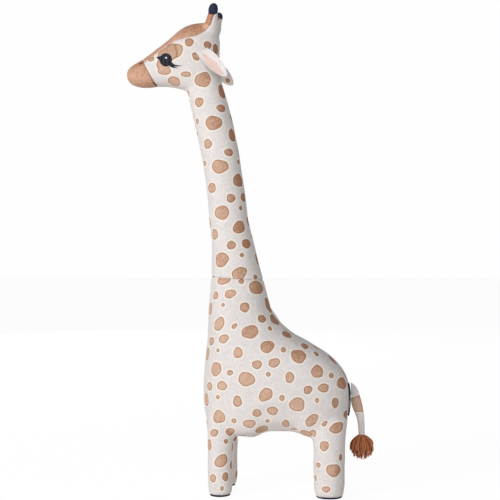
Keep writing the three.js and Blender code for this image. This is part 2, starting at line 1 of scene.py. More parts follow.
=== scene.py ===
"""A standing plush giraffe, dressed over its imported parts.

Everything is in metres, +Z up, with the muzzle towards -X and the toy's left side towards -Y. Each
stuffed skin is lofted over the sections of its sewn cover, remeshed into one cloth surface, puffed
by a short cloth simulation, and then marked with its seams and its printed spots.
"""

import logging
import math
from collections.abc import Callable, Iterator
from contextlib import contextmanager
from dataclasses import dataclass
from enum import Enum

import bmesh
import bpy
import numpy as np
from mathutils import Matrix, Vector, noise
from mathutils.bvhtree import BVHTree


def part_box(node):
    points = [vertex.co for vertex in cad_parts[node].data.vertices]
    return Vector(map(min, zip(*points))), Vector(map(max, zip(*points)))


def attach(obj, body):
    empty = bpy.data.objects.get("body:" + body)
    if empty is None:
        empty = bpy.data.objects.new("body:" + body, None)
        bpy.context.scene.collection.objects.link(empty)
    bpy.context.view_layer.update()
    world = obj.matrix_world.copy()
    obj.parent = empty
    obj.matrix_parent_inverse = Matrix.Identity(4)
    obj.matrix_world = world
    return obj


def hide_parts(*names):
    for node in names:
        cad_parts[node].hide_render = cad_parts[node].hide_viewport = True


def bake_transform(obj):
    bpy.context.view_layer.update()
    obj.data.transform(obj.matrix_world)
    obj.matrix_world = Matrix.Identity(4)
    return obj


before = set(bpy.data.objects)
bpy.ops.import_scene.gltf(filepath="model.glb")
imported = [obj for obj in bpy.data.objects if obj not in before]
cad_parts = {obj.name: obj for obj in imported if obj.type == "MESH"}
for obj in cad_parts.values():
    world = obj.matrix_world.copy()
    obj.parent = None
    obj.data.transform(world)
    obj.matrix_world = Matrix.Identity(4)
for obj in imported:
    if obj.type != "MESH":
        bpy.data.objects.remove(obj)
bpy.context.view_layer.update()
MM = 0.001
X, Y, Z = np.eye(3)
log = logging.getLogger("giraffe")

Field = Callable[[np.ndarray], np.ndarray]
Rows = tuple[tuple[float, ...], ...]
Pair = tuple[float, float]
Place = tuple[float, float, float]
Piece = bpy.types.Object
Material = bpy.types.Material
Node = bpy.types.Node
Socket = bpy.types.NodeSocket
Tree = bpy.types.NodeTree


class Side(Enum):
    """The toy's own sides, as signs along Y."""

    LEFT = -1
    RIGHT = 1

    @property
    def word(self) -> str:
        """The side's name in lower case."""
        return self.name.lower()


@dataclass(frozen=True)
class Picture:
    """The place that the toy was photographed from, and the scale of the picture's 500 pixels."""

    target: Place = (0.0008, 0.0, 0.333)
    distance: float = 1.58
    turn: float = math.radians(5)
    pixel: float = 1.3876 * MM
    column: float = 250.0
    row: float = 249.65
    size: int = 500

    @property
    def forward(self) -> Vector:
        """The level direction that the camera looks in."""
        return Vector((-math.sin(self.turn), math.cos(self.turn), 0))

    @property
    def place(self) -> Vector:
        """The camera's place."""
        return Vector(self.target) - self.forward * self.distance

    def hit(self, tree: BVHTree, x: float, y: float) -> tuple[Vector | None, Vector | None]:
        """Finds the point of a skin behind a pixel.

        Args:
            tree: The skin's search tree.
            x: The pixel's column.
            y: The pixel's row, counted down.

        Returns:
            The point and its face's normal, or None for both.
        """
        aside = Vector((math.cos(self.turn), math.sin(self.turn), 0)) * (x - self.column) * self.pixel
        above = Vector((0, 0, 1)) * (self.row - y) * self.pixel
        ray = (self.forward * self.distance + aside + above).normalized()
        return tree.ray_cast(self.place, ray)[:2]

    def camera(self) -> None:
        """Makes the scene's camera at this place."""
        data = bpy.data.cameras.new("camera")
        data.sensor_width = 36
        data.lens = data.sensor_width * self.distance / (self.pixel * self.size)
        data.clip_end = 20
        made = bpy.data.objects.new("camera", data)
        made.location = self.place
        made.rotation_euler = self.forward.to_track_quat("-Z", "Y").to_euler()
        bpy.context.scene.collection.objects.link(made)
        bpy.context.scene.camera = made


PICTURE = Picture()


def linear(code: str) -> tuple[float, float, float, float]:
    """Turns six hex digits of an sRGB colour to linear light, with an alpha of one."""
    shares = [int(code[i : i + 2], 16) / 255 for i in (0, 2, 4)]
    return (*(c / 12.92 if c <= 0.04045 else ((c + 0.055) / 1.055) ** 2.4 for c in shares), 1.0)


def add(tree: Tree, kind: str, settings: dict[str | int, object] | None = None) -> Node:
    """Adds a node with its settings and links.

    Args:
        tree: The material's node tree.
        kind: The node's type name without its prefix.
        settings: Values by the name of an attribute or an input, or by an input's number. A socket
            feeds the input, and so does a node, with its first output. Stops are the places and
            hex colours of a colour ramp.

    Returns:
        The new node.
    """
    node = tree.nodes.new("ShaderNode" + kind)
    for name, value in (settings or {}).items():
        if isinstance(value, Node):
            tree.links.new(value.outputs[0], node.inputs[name])
        elif isinstance(value, Socket):
            tree.links.new(value, node.inputs[name])
        elif name == "stops":
            for element, (place, code) in zip(node.color_ramp.elements, value):
                element.position = place
                element.color = linear(code)
        elif isinstance(name, str) and hasattr(node, name):
            setattr(node, name, value)
        else:
            node.inputs[name].default_value = value
    return node


def new_material(name: str) -> tuple[Material, Tree, Node]:
    """Makes a material with nothing but its output.

    Args:
        name: The material's name.

    Returns:
        The material, its node tree and its output node.
    """
    material = bpy.data.materials.new(name)
    material.use_nodes = True
    tree = material.node_tree
    tree.nodes.clear()
    return material, tree, add(tree, "OutputMaterial")


@dataclass(frozen=True)
class Plush:
    """Short-pile velour, knitted and sheared: matt, with a soft sheen at its edges.

    The pile's tips turn a little every way, which gives the eye a fine mottle. Real pile is about
    0.3 mm across, too fine to show, so it is drawn 1.5 mm across. A print lies on the pile: dye that
    is painted lighter where the cloth faces forwards, sideways or down and darker where it faces up or
    back, as painted light and shade, a darker line where it ran to the spot's edge, and a bleached halo
    round it.
    """

    name: str
    colour: str
    shade: str
    # The ink in painted light, and the deeper ink in painted shade; painted light and speckle mix between
    # them
    ink: str = "e0bca4"
    ink_shaded: str = "b58468"
    ink_edge: str = "93694b"
    halo: str = "fff3e8"
    # Painted shade that darkens the cloth along its seams
    seam_shade: str = "b79c8f"
    pile: float = 1.5 * MM
    mottle: float = 7.0 * MM
    relief: float = 0.3 * MM
    sheen: float = 0.15

    def material(self) -> Material:
        """Builds the cloth's material.

        Returns:
            The material, which reads the attributes spot and seam in millimetres, and the tone that holds
            painted light and shade in shares.
        """
        material, tree, output = new_material(self.name)
        place = add(tree, "TexCoord").outputs["Object"]
        pile = add(tree, "TexNoise", {"Scale": 1 / self.pile, "Detail": 2.0, "Vector": place})
        mottle = add(tree, "TexNoise", {"Scale": 1 / self.mottle, "Detail": 2.0, "Vector": place})
        mixed = add(tree, "MixRGB", {"Fac": 0.25, "Color1": pile, "Color2": mottle})
        ground = add(tree, "ValToRGB", {"Fac": mixed, "stops": ((0.36, self.shade), (0.58, self.colour))})
        limits = {"From Min": 0.36, "From Max": 0.64, "To Min": -0.42, "To Max": 0.42}
        speckle = add(tree, "MapRange", {"Value": mixed, **limits})
        # Painted light and shade by the cloth's facing, with the pile's speckle, mixes the shaded ink
        # towards the lit ink
        painted_light = add(tree, "Attribute", {"attribute_name": "tone_and_painted_light"}).outputs["Fac"]
        tone = add(tree, "Math", {"operation": "ADD", "use_clamp": True, 0: painted_light, 1: speckle})
        inks = {"Color1": linear(self.ink_shaded), "Color2": linear(self.ink)}
        lit_or_shaded_ink = add(tree, "MixRGB", {"Fac": tone, **inks})
        # The spot's edge frays with the pile, and the depth is below zero inside it
        spot = add(tree, "Attribute", {"attribute_name": "spot"}).outputs["Fac"]
        depth = add(tree, "Math", {"operation": "MULTIPLY_ADD", 0: pile, 1: 0.8, 2: spot})
        rim = add(tree, "MapRange", {"Value": depth, "From Min": -1.3, "From Max": 0.1, "To Max": 0.8})
        edge = add(tree, "MixRGB", {"Fac": rim, "Color1": lit_or_shaded_ink, "Color2": linear(self.ink_edge)})
        glow = add(tree, "MapRange", {"Value": depth, "From Min": 3.4, "From Max": 1.5, "To Max": 0.9})
        bleached = add(tree, "MixRGB", {"Fac": glow, "Color1": ground, "Color2": linear(self.halo)})
        inked = add(tree, "MapRange", {"Value": depth, "From Min": 0.75, "From Max": 0.2})
        printed = add(tree, "MixRGB", {"Fac": inked, "Color1": bleached, "Color2": edge})
        # Painted shade darkens the cloth within 0.9 mm of a seam
        seam = add(tree, "Attribute", {"attribute_name": "seam"}).outputs["Fac"]
        near = add(tree, "MapRange", {"Value": seam, "From Min": 0.9, "From Max": 0.0, "To Max": 0.25})
        seam_shade = {"blend_type": "MULTIPLY", "Color2": linear(self.seam_shade)}
        seam_shaded = add(tree, "MixRGB", {"Fac": near, "Color1": printed, **seam_shade})
        bump = add(tree, "Bump", {"Strength": 0.5, "Distance": self.relief, "Height": mixed})
        matt = {"Roughness": 0.95, "Specular IOR Level": 0.1}
        shader = {**matt, "Sheen Weight": self.sheen, "Sheen Roughness": 0.4}
        cloth = add(tree, "BsdfPrincipled", {**shader, "Base Color": seam_shaded, "Normal": bump})
        tree.links.new(cloth.outputs["BSDF"], output.inputs["Surface"])
        return material


@dataclass(frozen=True)
class Thread:
    """Satin-stitch embroidery or yarn: many parallel threads, which catch the light in fine lines."""

    name: str
    colour: str
    shade: str
    pitch: float = 0.9 * MM
    turn: float = 0.0
    fuzz: float = 0.4
    roughness: float = 0.7
    shine: float = 0.2
    relief: float = 0.3 * MM

    def material(self) -> Material:
        """Builds the thread's material, with its lines across the turned X axis.

        Returns:
            The material, which reads the stored tone attribute as each thread's own tone.
        """
        material, tree, output = new_material(self.name)
        place = add(tree, "TexCoord").outputs["Object"]
        turned = add(tree, "Mapping", {"Rotation": (0, self.turn, 0), "Vector": place})
        # A wave of scale 1 runs 20 times in a metre
        bands = {"wave_type": "BANDS", "bands_direction": "X", "Scale": 1 / self.pitch / 20}
        lines = add(tree, "TexWave", {**bands, "Distortion": 0.6, "Vector": turned}).outputs["Fac"]
        fuzz = add(tree, "TexNoise", {"Scale": 1 / self.pitch, "Detail": 2.0, "Vector": place})
        tone = add(tree, "MixRGB", {"Fac": self.fuzz, "Color1": lines, "Color2": fuzz})
        own = add(tree, "Attribute", {"attribute_name": "tone_and_painted_light"}).outputs["Fac"]
        shown = add(tree, "Math", {"operation": "ADD", 0: tone, 1: own})
        colour = add(tree, "ValToRGB", {"Fac": shown, "stops": ((0.25, self.shade), (0.75, self.colour))})
        bump = add(tree, "Bump", {"Strength": 0.6, "Distance": self.relief, "Height": tone})
        shader = {"Roughness": self.roughness, "Specular IOR Level": self.shine}
        thread = add(tree, "BsdfPrincipled", {**shader, "Base Color": colour, "Normal": bump})
        tree.links.new(thread.outputs["BSDF"], output.inputs["Surface"])
        return material


CREAM = Plush("cream_velour", "f1ecea", "e2dad7").material()
BROWN = Plush("caramel_velour", "f1ecea", "e2dad7", ink="e2b8a0", ink_shaded="b87f5c").material()
PEACH = Plush("peach_velour", "f4dcd1", "e4c3b5", sheen=0.05).material()
NAVY = Plush("navy_velour", "3b4058", "22263a", sheen=0.05).material()
SOLE_FELT = Plush("navy_felt", "3a3e52", "22263a", pile=0.8 * MM, sheen=0.0).material()
EYE_THREAD = Thread("black_embroidery", "2f323c", "15161c").material()
GLINT_THREAD = Thread("white_embroidery", "fbfbfb", "e6e8ee").material()
BROWN_THREAD = Thread("dark_brown_embroidery", "6b4636", "4a3026").material()
YARN = Thread("rust_yarn", "dc946c", "9e5833", pitch=1.4 * MM, fuzz=1.0, shine=0.1).material()
RIBBON = Thread("black_ribbon", "222126", "121216", pitch=0.6 * MM, turn=math.pi / 2, shine=0.05).material()
FIBREBOARD = Plush("fibreboard", "a89a88", "8d8070", relief=0.1 * MM).material()

# Distances in millimetres that stand for a whole piece: dyed all over, plain, and far from any seam
DYED, PLAIN, UNSEWN = -8.0, 8.0, 10.0


def eased(rows: Rows | list, steps: int = 8, reach: int = 5) -> np.ndarray:
    """Rows on a smooth curve that follows the rows of a table.

    Args:
        rows: The table, in order.
        steps: How many rows the curve has for each row of the table.
        reach: How many of those steps the smoothing takes in on each side.

    Returns:
        The rows of the curve, with the table's first and last.
    """
    table = np.array(rows, float)
    places = np.linspace(0, len(table) - 1, (len(table) - 1) * steps + 1)
    fine = np.stack([np.interp(places, np.arange(len(table)), column) for column in table.T], axis=1)
    kernel = np.hanning(2 * reach + 3)[1:-1]
    padded = np.pad(fine, ((reach, reach), (0, 0)), mode="reflect", reflect_type="odd")
    return np.stack([np.convolve(column, kernel / kernel.sum(), "valid") for column in padded.T], axis=1)


def smooth(share: np.ndarray | float) -> np.ndarray | float:
    """Eases a share from 0 to 1, held at both ends."""
    held = np.clip(share, 0, 1)
    return held * held * (3 - 2 * held)


def ring(
    middle: np.ndarray,
    along: np.ndarray,
    across: np.ndarray,
    half: Pair,
    roundness: float = 2.2,
    count: int = 72,
) -> np.ndarray:
    """A rounded ring round a middle, across two directions.

    Args:
        middle: The ring's middle.
        along: A unit direction.
        across: The other unit direction.
        half: Half the ring's size in each direction.
        roundness: 2 for an ellipse, more for a boxier ring.
        count: How many points it has.

    Returns:
        The points, one a row.
    """
    angle = np.linspace(0, 2 * math.pi, count, endpoint=False)
    swell = [np.sign(c) * np.abs(c) ** (2 / roundness) for c in (np.cos(angle), np.sin(angle))]
    return middle + np.outer(half[0] * swell[0], along) + np.outer(half[1] * swell[1], across)


def walls(count: int, rings: int, start: int = 0) -> list[tuple[int, ...]]:
    """The faces that join rings of points.

    Args:
        count: How many points a ring has.
        rings: How many rings there are.
        start: The number of the first ring's first point.

    Returns:
        The faces, as point numbers.
    """
    pairs = [(i, (i + 1) % count) for i in range(count)]
    lows = [start + r * count for r in range(rings - 1)]
    return [(low + i, low + j, low + j + count, low + i + count) for low in lows for i, j in pairs]


def mesh_object(name: str, points: np.ndarray, faces: list[tuple[int, ...]]) -> Piece:
    """Makes a mesh object at the origin.

    Args:
        name: The object's name.
        points: The vertices, one a row.
        faces: The faces, as vertex numbers.

    Returns:
        The object, shaded smooth.
    """
    mesh = bpy.data.meshes.new(name)
    mesh.from_pydata([tuple(p) for p in points], [], faces)
    mesh.polygons.foreach_set("use_smooth", [True] * len(mesh.polygons))
    made = bpy.data.objects.new(name, mesh)
    bpy.context.scene.collection.objects.link(made)
    return made


def loft(name: str, rings: list[np.ndarray]) -> Piece:
    """Makes a closed skin over rings, fanned shut at both ends, with its faces outwards.

    Args:
        name: The object's name.
        rings: Rings with as many points each.

    Returns:
        The object.
    """
    count, last = len(rings[0]), (len(rings) - 1) * len(rings[0])
    points = np.concatenate([*rings, [rings[0].mean(axis=0)], [rings[-1].mean(axis=0)]])
    faces = walls(count, len(rings))
    for i in range(count):
        j = (i + 1) % count
        faces.append((j, i, len(points) - 2))
        faces.append((last + i, last + j, len(points) - 1))
    made = mesh_object(name, points, faces)
    turn_out(made)
    return made


@contextmanager
def edited(obj: Piece) -> Iterator[bmesh.types.BMesh]:
    """Opens an object's mesh for editing, and writes it back at the end.

    Args:
        obj: The object.

    Returns:
        The mesh under edit.
    """
    edit = bmesh.new()
    edit.from_mesh(obj.data)
    yield edit
    edit.to_mesh(obj.data)
    edit.free()
    obj.data.update()


def turn_out(obj: Piece) -> None:
    """Turns the faces of a closed object outwards."""
    with edited(obj) as edit:
        bmesh.ops.recalc_face_normals(edit, faces=edit.faces)


def close(obj: Piece) -> None:
    """Fills the open rims of an object with a lid each.

    Args:
        obj: The object.
    """
    with edited(obj) as edit:
        rims = [edge for edge in edit.edges if edge.is_boundary]
        lids = bmesh.ops.holes_fill(edit, edges=rims, sides=0)["faces"]
        bmesh.ops.triangulate(edit, faces=lids)
        bmesh.ops.recalc_face_normals(edit, faces=edit.faces)


def select(*forms: Piece) -> None:
    """Selects objects and nothing else.

    Args:
        forms: The objects, the active one first.
    """
    bpy.ops.object.select_all(action="DESELECT")
    for form in forms:
        form.select_set(True)
    bpy.context.view_layer.objects.active = forms[0]


def apply_modifier(obj: Piece, kind: str, **settings: object) -> None:
    """Adds a modifier to an object and applies it.

    Args:
        obj: The object.
        kind: The modifier's type.
        settings: The modifier's own settings.
    """
    modifier = obj.modifiers.new(kind.lower(), kind)
    for name, value in settings.items():
        setattr(modifier, name, value)
    select(obj)
    bpy.ops.object.modifier_apply(modifier=modifier.name)


def joined(name: str, forms: list[Piece]) -> Piece:
    """Joins objects into one.

    Args:
        name: The new object's name.
        forms: The objects, which may overlap.

    Returns:
        The joined object.
    """
    select(*forms)
    bpy.ops.object.join()
    forms[0].name = forms[0].data.name = name
    return forms[0]


def copy_of(obj: Piece, name: str) -> Piece:
    """Copies an object with its mesh.

    Args:
        obj: The object.
        name: The copy's name.

    Returns:
        The copy.
    """
    made = obj.copy()
    made.data = obj.data.copy()
    made.name = made.data.name = name
    bpy.context.scene.collection.objects.link(made)
    return made


def points_of(obj: Piece, kind: str = "co") -> np.ndarray:
    """Reads three numbers of each vertex.

    Args:
        obj: The object.
        kind: What is read, the place or another value of the vertex.

    Returns:
        The numbers, a vertex a row.
    """
    flat = np.zeros(len(obj.data.vertices) * 3)
    obj.data.vertices.foreach_get(kind, flat)
    return flat.reshape(-1, 3)


def normals_of(obj: Piece) -> np.ndarray:
    """The vertex normals of an object, one a row."""
    return points_of(obj, "normal")


def set_points(obj: Piece, points: np.ndarray) -> None:
    """Moves the vertices of an object."""
    obj.data.vertices.foreach_set("co", points.astype(np.float32).ravel())
    obj.data.update()


def set_attribute(obj: Piece, name: str, values: np.ndarray) -> None:
    """Stores a number for each vertex of an object."""
    known = obj.data.attributes.get(name) or obj.data.attributes.new(name, "FLOAT", "POINT")
    known.data.foreach_set("value", values.astype(np.float32))


def tree_of(obj: Piece) -> BVHTree:
    """A search tree of an object's faces, for rays and nearest points."""
    faces = [tuple(p.vertices) for p in obj.data.polygons]
    return BVHTree.FromPolygons([Vector(p) for p in points_of(obj)], faces)


def puff(obj: Piece, held: np.ndarray, cap: float, pressure: float = 4.0, frames: int = 16) -> None:
    """Blows a stuffed skin up as cloth, and lets no point move further than a cap.

    Args:
        obj: The skin, a closed mesh with even faces.
        held: For each vertex, 1 where a seam holds it and 0 where it is free.
        cap: The furthest that a point may move.
        pressure: The pressure inside.
        frames: How long it is blown up.
    """
    before = points_of(obj)
    group = obj.vertex_groups.new(name="held")
    for weight in (0.3, 0.6, 1.0):
        group.add([int(i) for i in np.flatnonzero(held >= weight)], weight, "REPLACE")
    cloth = obj.modifiers.new("cloth", "CLOTH")
    cloth.settings.use_pressure = True
    cloth.settings.uniform_pressure_force = pressure
    cloth.settings.effector_weights.gravity = 0
    cloth.settings.quality = 5
    cloth.settings.tension_stiffness = cloth.settings.compression_stiffness = 8
    cloth.settings.bending_stiffness = 0.4
    cloth.settings.vertex_group_mass = "held"
    cloth.point_cache.frame_start = 1
    cloth.point_cache.frame_end = frames
    scene = bpy.context.scene
    for step in range(1, frames + 1):
        scene.frame_set(step)
    after = points_of(obj.evaluated_get(bpy.context.evaluated_depsgraph_get()))
    obj.modifiers.remove(cloth)
    obj.vertex_groups.clear()
    scene.frame_set(1)
    moved = after - before
    far = np.linalg.norm(moved, axis=1, keepdims=True)
    set_points(obj, before + moved * np.minimum(1, cap / np.maximum(far, 1e-9)))
    log.info("%s puffed by %.1f mm at most", obj.name, float(far.max()) / MM)


def lumpy(obj: Piece, height: float, size: float, held: np.ndarray) -> None:
    """Gives a stuffed skin the shallow lumps of its filling.

    Args:
        obj: The skin.
        height: How far the lumps rise and sink.
        size: How wide a lump is.
        held: For each vertex, 1 where a seam holds the cloth flat.
    """
    points, normals = points_of(obj), normals_of(obj)
    rise = [noise.noise(Vector(p) / size) + 0.4 * noise.noise(Vector(p) / size * 2.7) for p in points]
    set_points(obj, points + normals * (np.array(rise) * height * (1 - held))[:, None])


def split_along(obj: Piece, place: Field) -> None:
    """Cuts an object's faces along the line where a field is zero.

    Args:
        obj: The object.
        place: Gives the signed distance of points from the line.
    """
    values = place(points_of(obj))
    values = np.where(np.abs(values) < 1e-7, 1e-7, values)
    made = []
    with edited(obj) as edit:
        for edge in [e for e in edit.edges if values[e.verts[0].index] * values[e.verts[1].index] < 0]:
            near, far = values[edge.verts[0].index], values[edge.verts[1].index]
            made.append(bmesh.utils.edge_split(edge, edge.verts[0], near / (near - far))[1])
        bmesh.ops.connect_verts(edit, verts=made)


def keep_part(obj: Piece, place: Field) -> None:
    """Deletes the faces of an object where a field is below zero at their middle.

    Args:
        obj: The object, already split along the field's line.
        place: The field.
    """
    middles = np.array([tuple(p.center) for p in obj.data.polygons])
    lost = np.flatnonzero(place(middles) < 0)
    with edited(obj) as edit:
        edit.faces.ensure_lookup_table()
        bmesh.ops.delete(edit, geom=[edit.faces[i] for i in lost], context="FACES")


def dress(obj: Piece, material: Material) -> None:
    """Gives an object its material, and shades it smooth.

    Args:
        obj: The object.
        material: Its material.
    """
    obj.data.materials.clear()
    obj.data.materials.append(material)
    obj.data.polygons.foreach_set("use_smooth", [True] * len(obj.data.polygons))


def tone_and_painted_light(normals: np.ndarray) -> np.ndarray:
    """Painted light and shade by the cloth's facing: lighter where it faces forwards, sideways or down.

    Args:
        normals: The cloth's normals, one a row.

    Returns:
        A share for each.
    """
    lean = normals * (-0.62, 0, -0.48)
    return np.clip(0.28 + 0.85 * (lean.sum(axis=1) + 0.62 * np.abs(normals[:, 1])), 0, 1)


def dye(obj: Piece, spot: float, tone: float = 0.0) -> None:
    """Stores one spot distance for a whole piece, with its painted light and shade by facing, and no seam.

    Args:
        obj: The piece.
        spot: DYED or PLAIN.
        tone: What is added to its painted light and shade.
    """
    count = len(obj.data.vertices)
    set_attribute(obj, "spot", np.full(count, spot))
    set_attribute(obj, "tone_and_painted_light", tone_and_painted_light(normals_of(obj)) + tone)
    if "seam" not in obj.data.attributes:
        set_attribute(obj, "seam", np.full(count, UNSEWN))


def plane(point: Place, normal: Place) -> Field:
    """The field of distances from a plane, positive on the side that its normal faces."""
    facing = np.array(normal, float) / np.linalg.norm(normal)
    return lambda p: (p - np.array(point)) @ facing


@dataclass(frozen=True)
class Seam:
    """A sewn seam: where it runs, and how deep and wide it draws the cloth in."""

    place: Field
    depth: float = 1.2 * MM
    width: float = 1.8 * MM
    where: Field | None = None

    def pull(self, points: np.ndarray) -> tuple[np.ndarray, np.ndarray]:
        """How far the seam draws each point in, and each point's distance from it.

        Args:
            points: The points, one a row.

        Returns:
            The depths and the distances.
        """
        distance = np.abs(self.place(points))
        if self.where is not None:
            distance = np.where(self.where(points) > 0, distance, 1.0)
        return self.depth * np.exp(-((distance / self.width) ** 2)), distance


def sew(obj: Piece, seams: list[Seam]) -> None:
    """Cuts an object's faces along its seams, draws the cloth in there and stores the distances.

    Args:
        obj: The skin.
        seams: Its seams.
    """
    for seam in seams:
        split_along(obj, seam.place)
    points, normals = points_of(obj), normals_of(obj)
    pulls = [seam.pull(points) for seam in seams]
    depth = np.max([pull for pull, _ in pulls], axis=0)
    nearest = np.min([distance for _, distance in pulls], axis=0)
    set_points(obj, points - normals * depth[:, None])
    set_attribute(obj, "seam", np.minimum(nearest / MM, UNSEWN))


@dataclass(frozen=True)
class Spot:
    """One printed spot: its middle, its directions on the cloth, its half sizes, wobble and tone.

    A spot with a clear distance lies under those before it and stays that far away from them.
    """

    middle: np.ndarray
    along: np.ndarray
    across: np.ndarray
    facing: np.ndarray
    half: Pair
    wobble: Place
    tone: float
    clear: float | None = None

    def depth(self, points: np.ndarray) -> np.ndarray:
        """The distance of points from the spot's edge, below zero inside it.

        Args:
            points: Points on the cloth near the spot.

        Returns:
            The distances.
        """
        offset = points - self.middle
        a, b = offset @ self.along, offset @ self.across
        reach = np.linalg.norm(offset, axis=1)
        angle = np.arctan2(b / self.half[1], a / self.half[0])
        share = np.hypot(a / self.half[0], b / self.half[1]) * reach / np.maximum(np.hypot(a, b), 1e-6)
        waves = zip((2, 3, 5), (0.025, 0.045, 0.025), self.wobble)
        edge = sum((size * np.sin(turns * angle + start) for turns, size, start in waves), 1)
        return reach * (1 - edge / np.maximum(share, 1e-6))


class Print:
    """The spots printed on a skin: those that the picture shows, and others like them all round."""

    big: float = 10.5 * MM
    big_gap: float = 23.8333 * MM
    gap: float = 6.5 * MM
    # How far the cloth may slope away behind a spot, as a share of the spot's flat length
    stretch: float = 2.2
    # The made-up spots' sizes, as shares of the big one, and how often each is tried
    sizes: Rows = ((1.0, 500), (0.72, 700), (0.46, 700), (0.22, 500))

    def __init__(self, skin: Piece, seed: int, tone: float = 0.0) -> None:
        """Prepares a skin for printing.

        Args:
            skin: The skin, in its final shape.
            seed: The seed of the spots that the picture doesn't show.
            tone: What is added to the painted light and shade of the whole skin.
        """
        self.skin = skin
        self.tone = tone
        self.random = np.random.default_rng(seed)
        self.tree = tree_of(skin)
        self.points = points_of(skin)
        self.normals = normals_of(skin)
        self.spots: list[Spot] = []

    def reach(self, x: float, y: float, across: float, down: float) -> Vector | None:
        """The furthest point of the skin from a pixel towards an offset from it.

        Args:
            x: The pixel's column.
            y: The pixel's row.
            across: The offset's columns.
            down: The offset's rows.

        Returns:
            The point, or None where even the pixel misses the skin.
        """
        middle = PICTURE.hit(self.tree, x, y)[0]
        furthest = self.stretch * math.hypot(across, down) * PICTURE.pixel + 1 * MM
        for share in (1.0, 0.9, 0.8, 0.65, 0.5, 0.3) if middle else ():
            found = PICTURE.hit(self.tree, x + across * share, y + down * share)[0]
            if found and (found - middle).length < furthest:
                return found
        return middle

    def add_spot(
        self,
        middle: np.ndarray,
        facing: np.ndarray,
        along: np.ndarray,
        half: Pair,
        clear: float | None = None,
    ) -> None:
        """Adds a spot with a wobble and a tone of its own.

        Args:
            middle: Its middle.
            facing: The cloth's normal there.
            along: The direction of its first half size, roughly.
            half: Its half sizes.
            clear: How far it stays away from the spots before it, if it lies under those.
        """
        facing = facing / np.linalg.norm(facing)
        along = along - facing * (along @ facing)
        along = along / max(np.linalg.norm(along), 1e-9)
        wobble = tuple(self.random.uniform(0, 2 * math.pi, 3))
        tone = self.random.uniform(-0.12, 0.12)
        self.spots.append(Spot(middle, along, np.cross(facing, along), facing, half, wobble, tone, clear))

    def print_seen(self, rows: Rows, clear: float | None = None) -> None:
        """Adds the spots that the picture shows.

        Args:
            rows: Column, row, width and height of each spot in pixels, and any tilt in degrees.
            clear: How far they stay away from the spots before them, if they lie under those.
        """
        for x, y, width, height, *tilt in rows:
            turn = math.radians(tilt[0]) if tilt else 0.0
            aside = (math.cos(turn) * width / 2, -math.sin(turn) * width / 2)
            above = (-math.sin(turn) * height / 2, -math.cos(turn) * height / 2)
            ends = [self.reach(x, y, s * c[0], s * c[1]) for c in (aside, above) for s in (1, -1)]
            if None in ends:
                log.info("the spot at %.0f, %.0f misses %s", x, y, self.skin.name)
                continue
            ends = np.array(ends, float)
            middle, facing = self.tree.find_nearest(Vector(ends.mean(axis=0)))[:2]
            half = tuple(max(np.linalg.norm(ends[i] - ends[i + 1]) / 2, 0.8 * MM) for i in (0, 2))
            self.add_spot(np.array(middle), np.array(facing), ends[0] - ends[1], half, clear)

    def seen(self) -> np.ndarray:
        """Which vertices the picture shows.

        Returns:
            A truth value for each vertex.
        """
        towards = np.array(PICTURE.place) - self.points
        towards /= np.linalg.norm(towards, axis=1, keepdims=True)
        shown = np.einsum("ij,ij->i", towards, self.normals) > 0.05
        for i in np.flatnonzero(shown):
            hit = self.tree.ray_cast(PICTURE.place, Vector(-towards[i]))[0]
            shown[i] = hit is not None and (np.array(hit) - self.points[i]) @ towards[i] < 3 * MM
        return shown

    def print_unseen(self, low: float, high: float) -> None:
        """Adds spots where the picture shows none, the big ones first, until no more fit.

        Args:
            low: No spot lies lower than this.
            high: No spot lies higher than this.
        """
        hidden = np.flatnonzero(~self.seen() & (self.points[:, 2] > low) & (self.points[:, 2] < high))
        for radius, tries in self.sizes:
            for i in self.random.choice(hidden, tries):
                size = self.big * radius * self.random.uniform(0.88, 1.12)
                near = [
                    np.linalg.norm(spot.middle - self.points[i]) - max(spot.half) - size
                    < (self.big_gap if radius == 1 and max(spot.half) > self.big * 0.8 else self.gap)
                    for spot in self.spots
                ]
                if not any(near):
                    along = self.random.normal(size=3)
                    half = (size, size * self.random.uniform(0.8, 1.0))
                    self.add_spot(self.points[i], self.normals[i], along, half)

    def paint(self) -> None:
        """Stores each vertex's distance from the nearest spot's edge, in millimetres, and its tone with
        painted light.
        """
        depth = np.full(len(self.points), PLAIN * MM)
        # Painted light and shade by facing, to which each spot adds its own tone
        tone = tone_and_painted_light(self.normals) + self.tone
        for spot in self.spots:
            offset = self.points - spot.middle
            beside = np.einsum("ij,ij->i", offset, offset) < (max(spot.half) * 1.4 + PLAIN * MM) ** 2
            near = np.flatnonzero(beside & (self.normals @ spot.facing > -0.1))
            inside = spot.depth(self.points[near])
            if spot.clear is not None:
                inside = np.maximum(inside, spot.clear - depth[near])
            tone[near] += np.where(inside < 0, spot.tone, 0)
            depth[near] = np.minimum(depth[near], inside)
        set_attribute(self.skin, "spot", np.clip(depth / MM, DYED, PLAIN))
        set_attribute(self.skin, "tone_and_painted_light", tone)
        log.info("%s has %d spots", self.skin.name, len(self.spots))


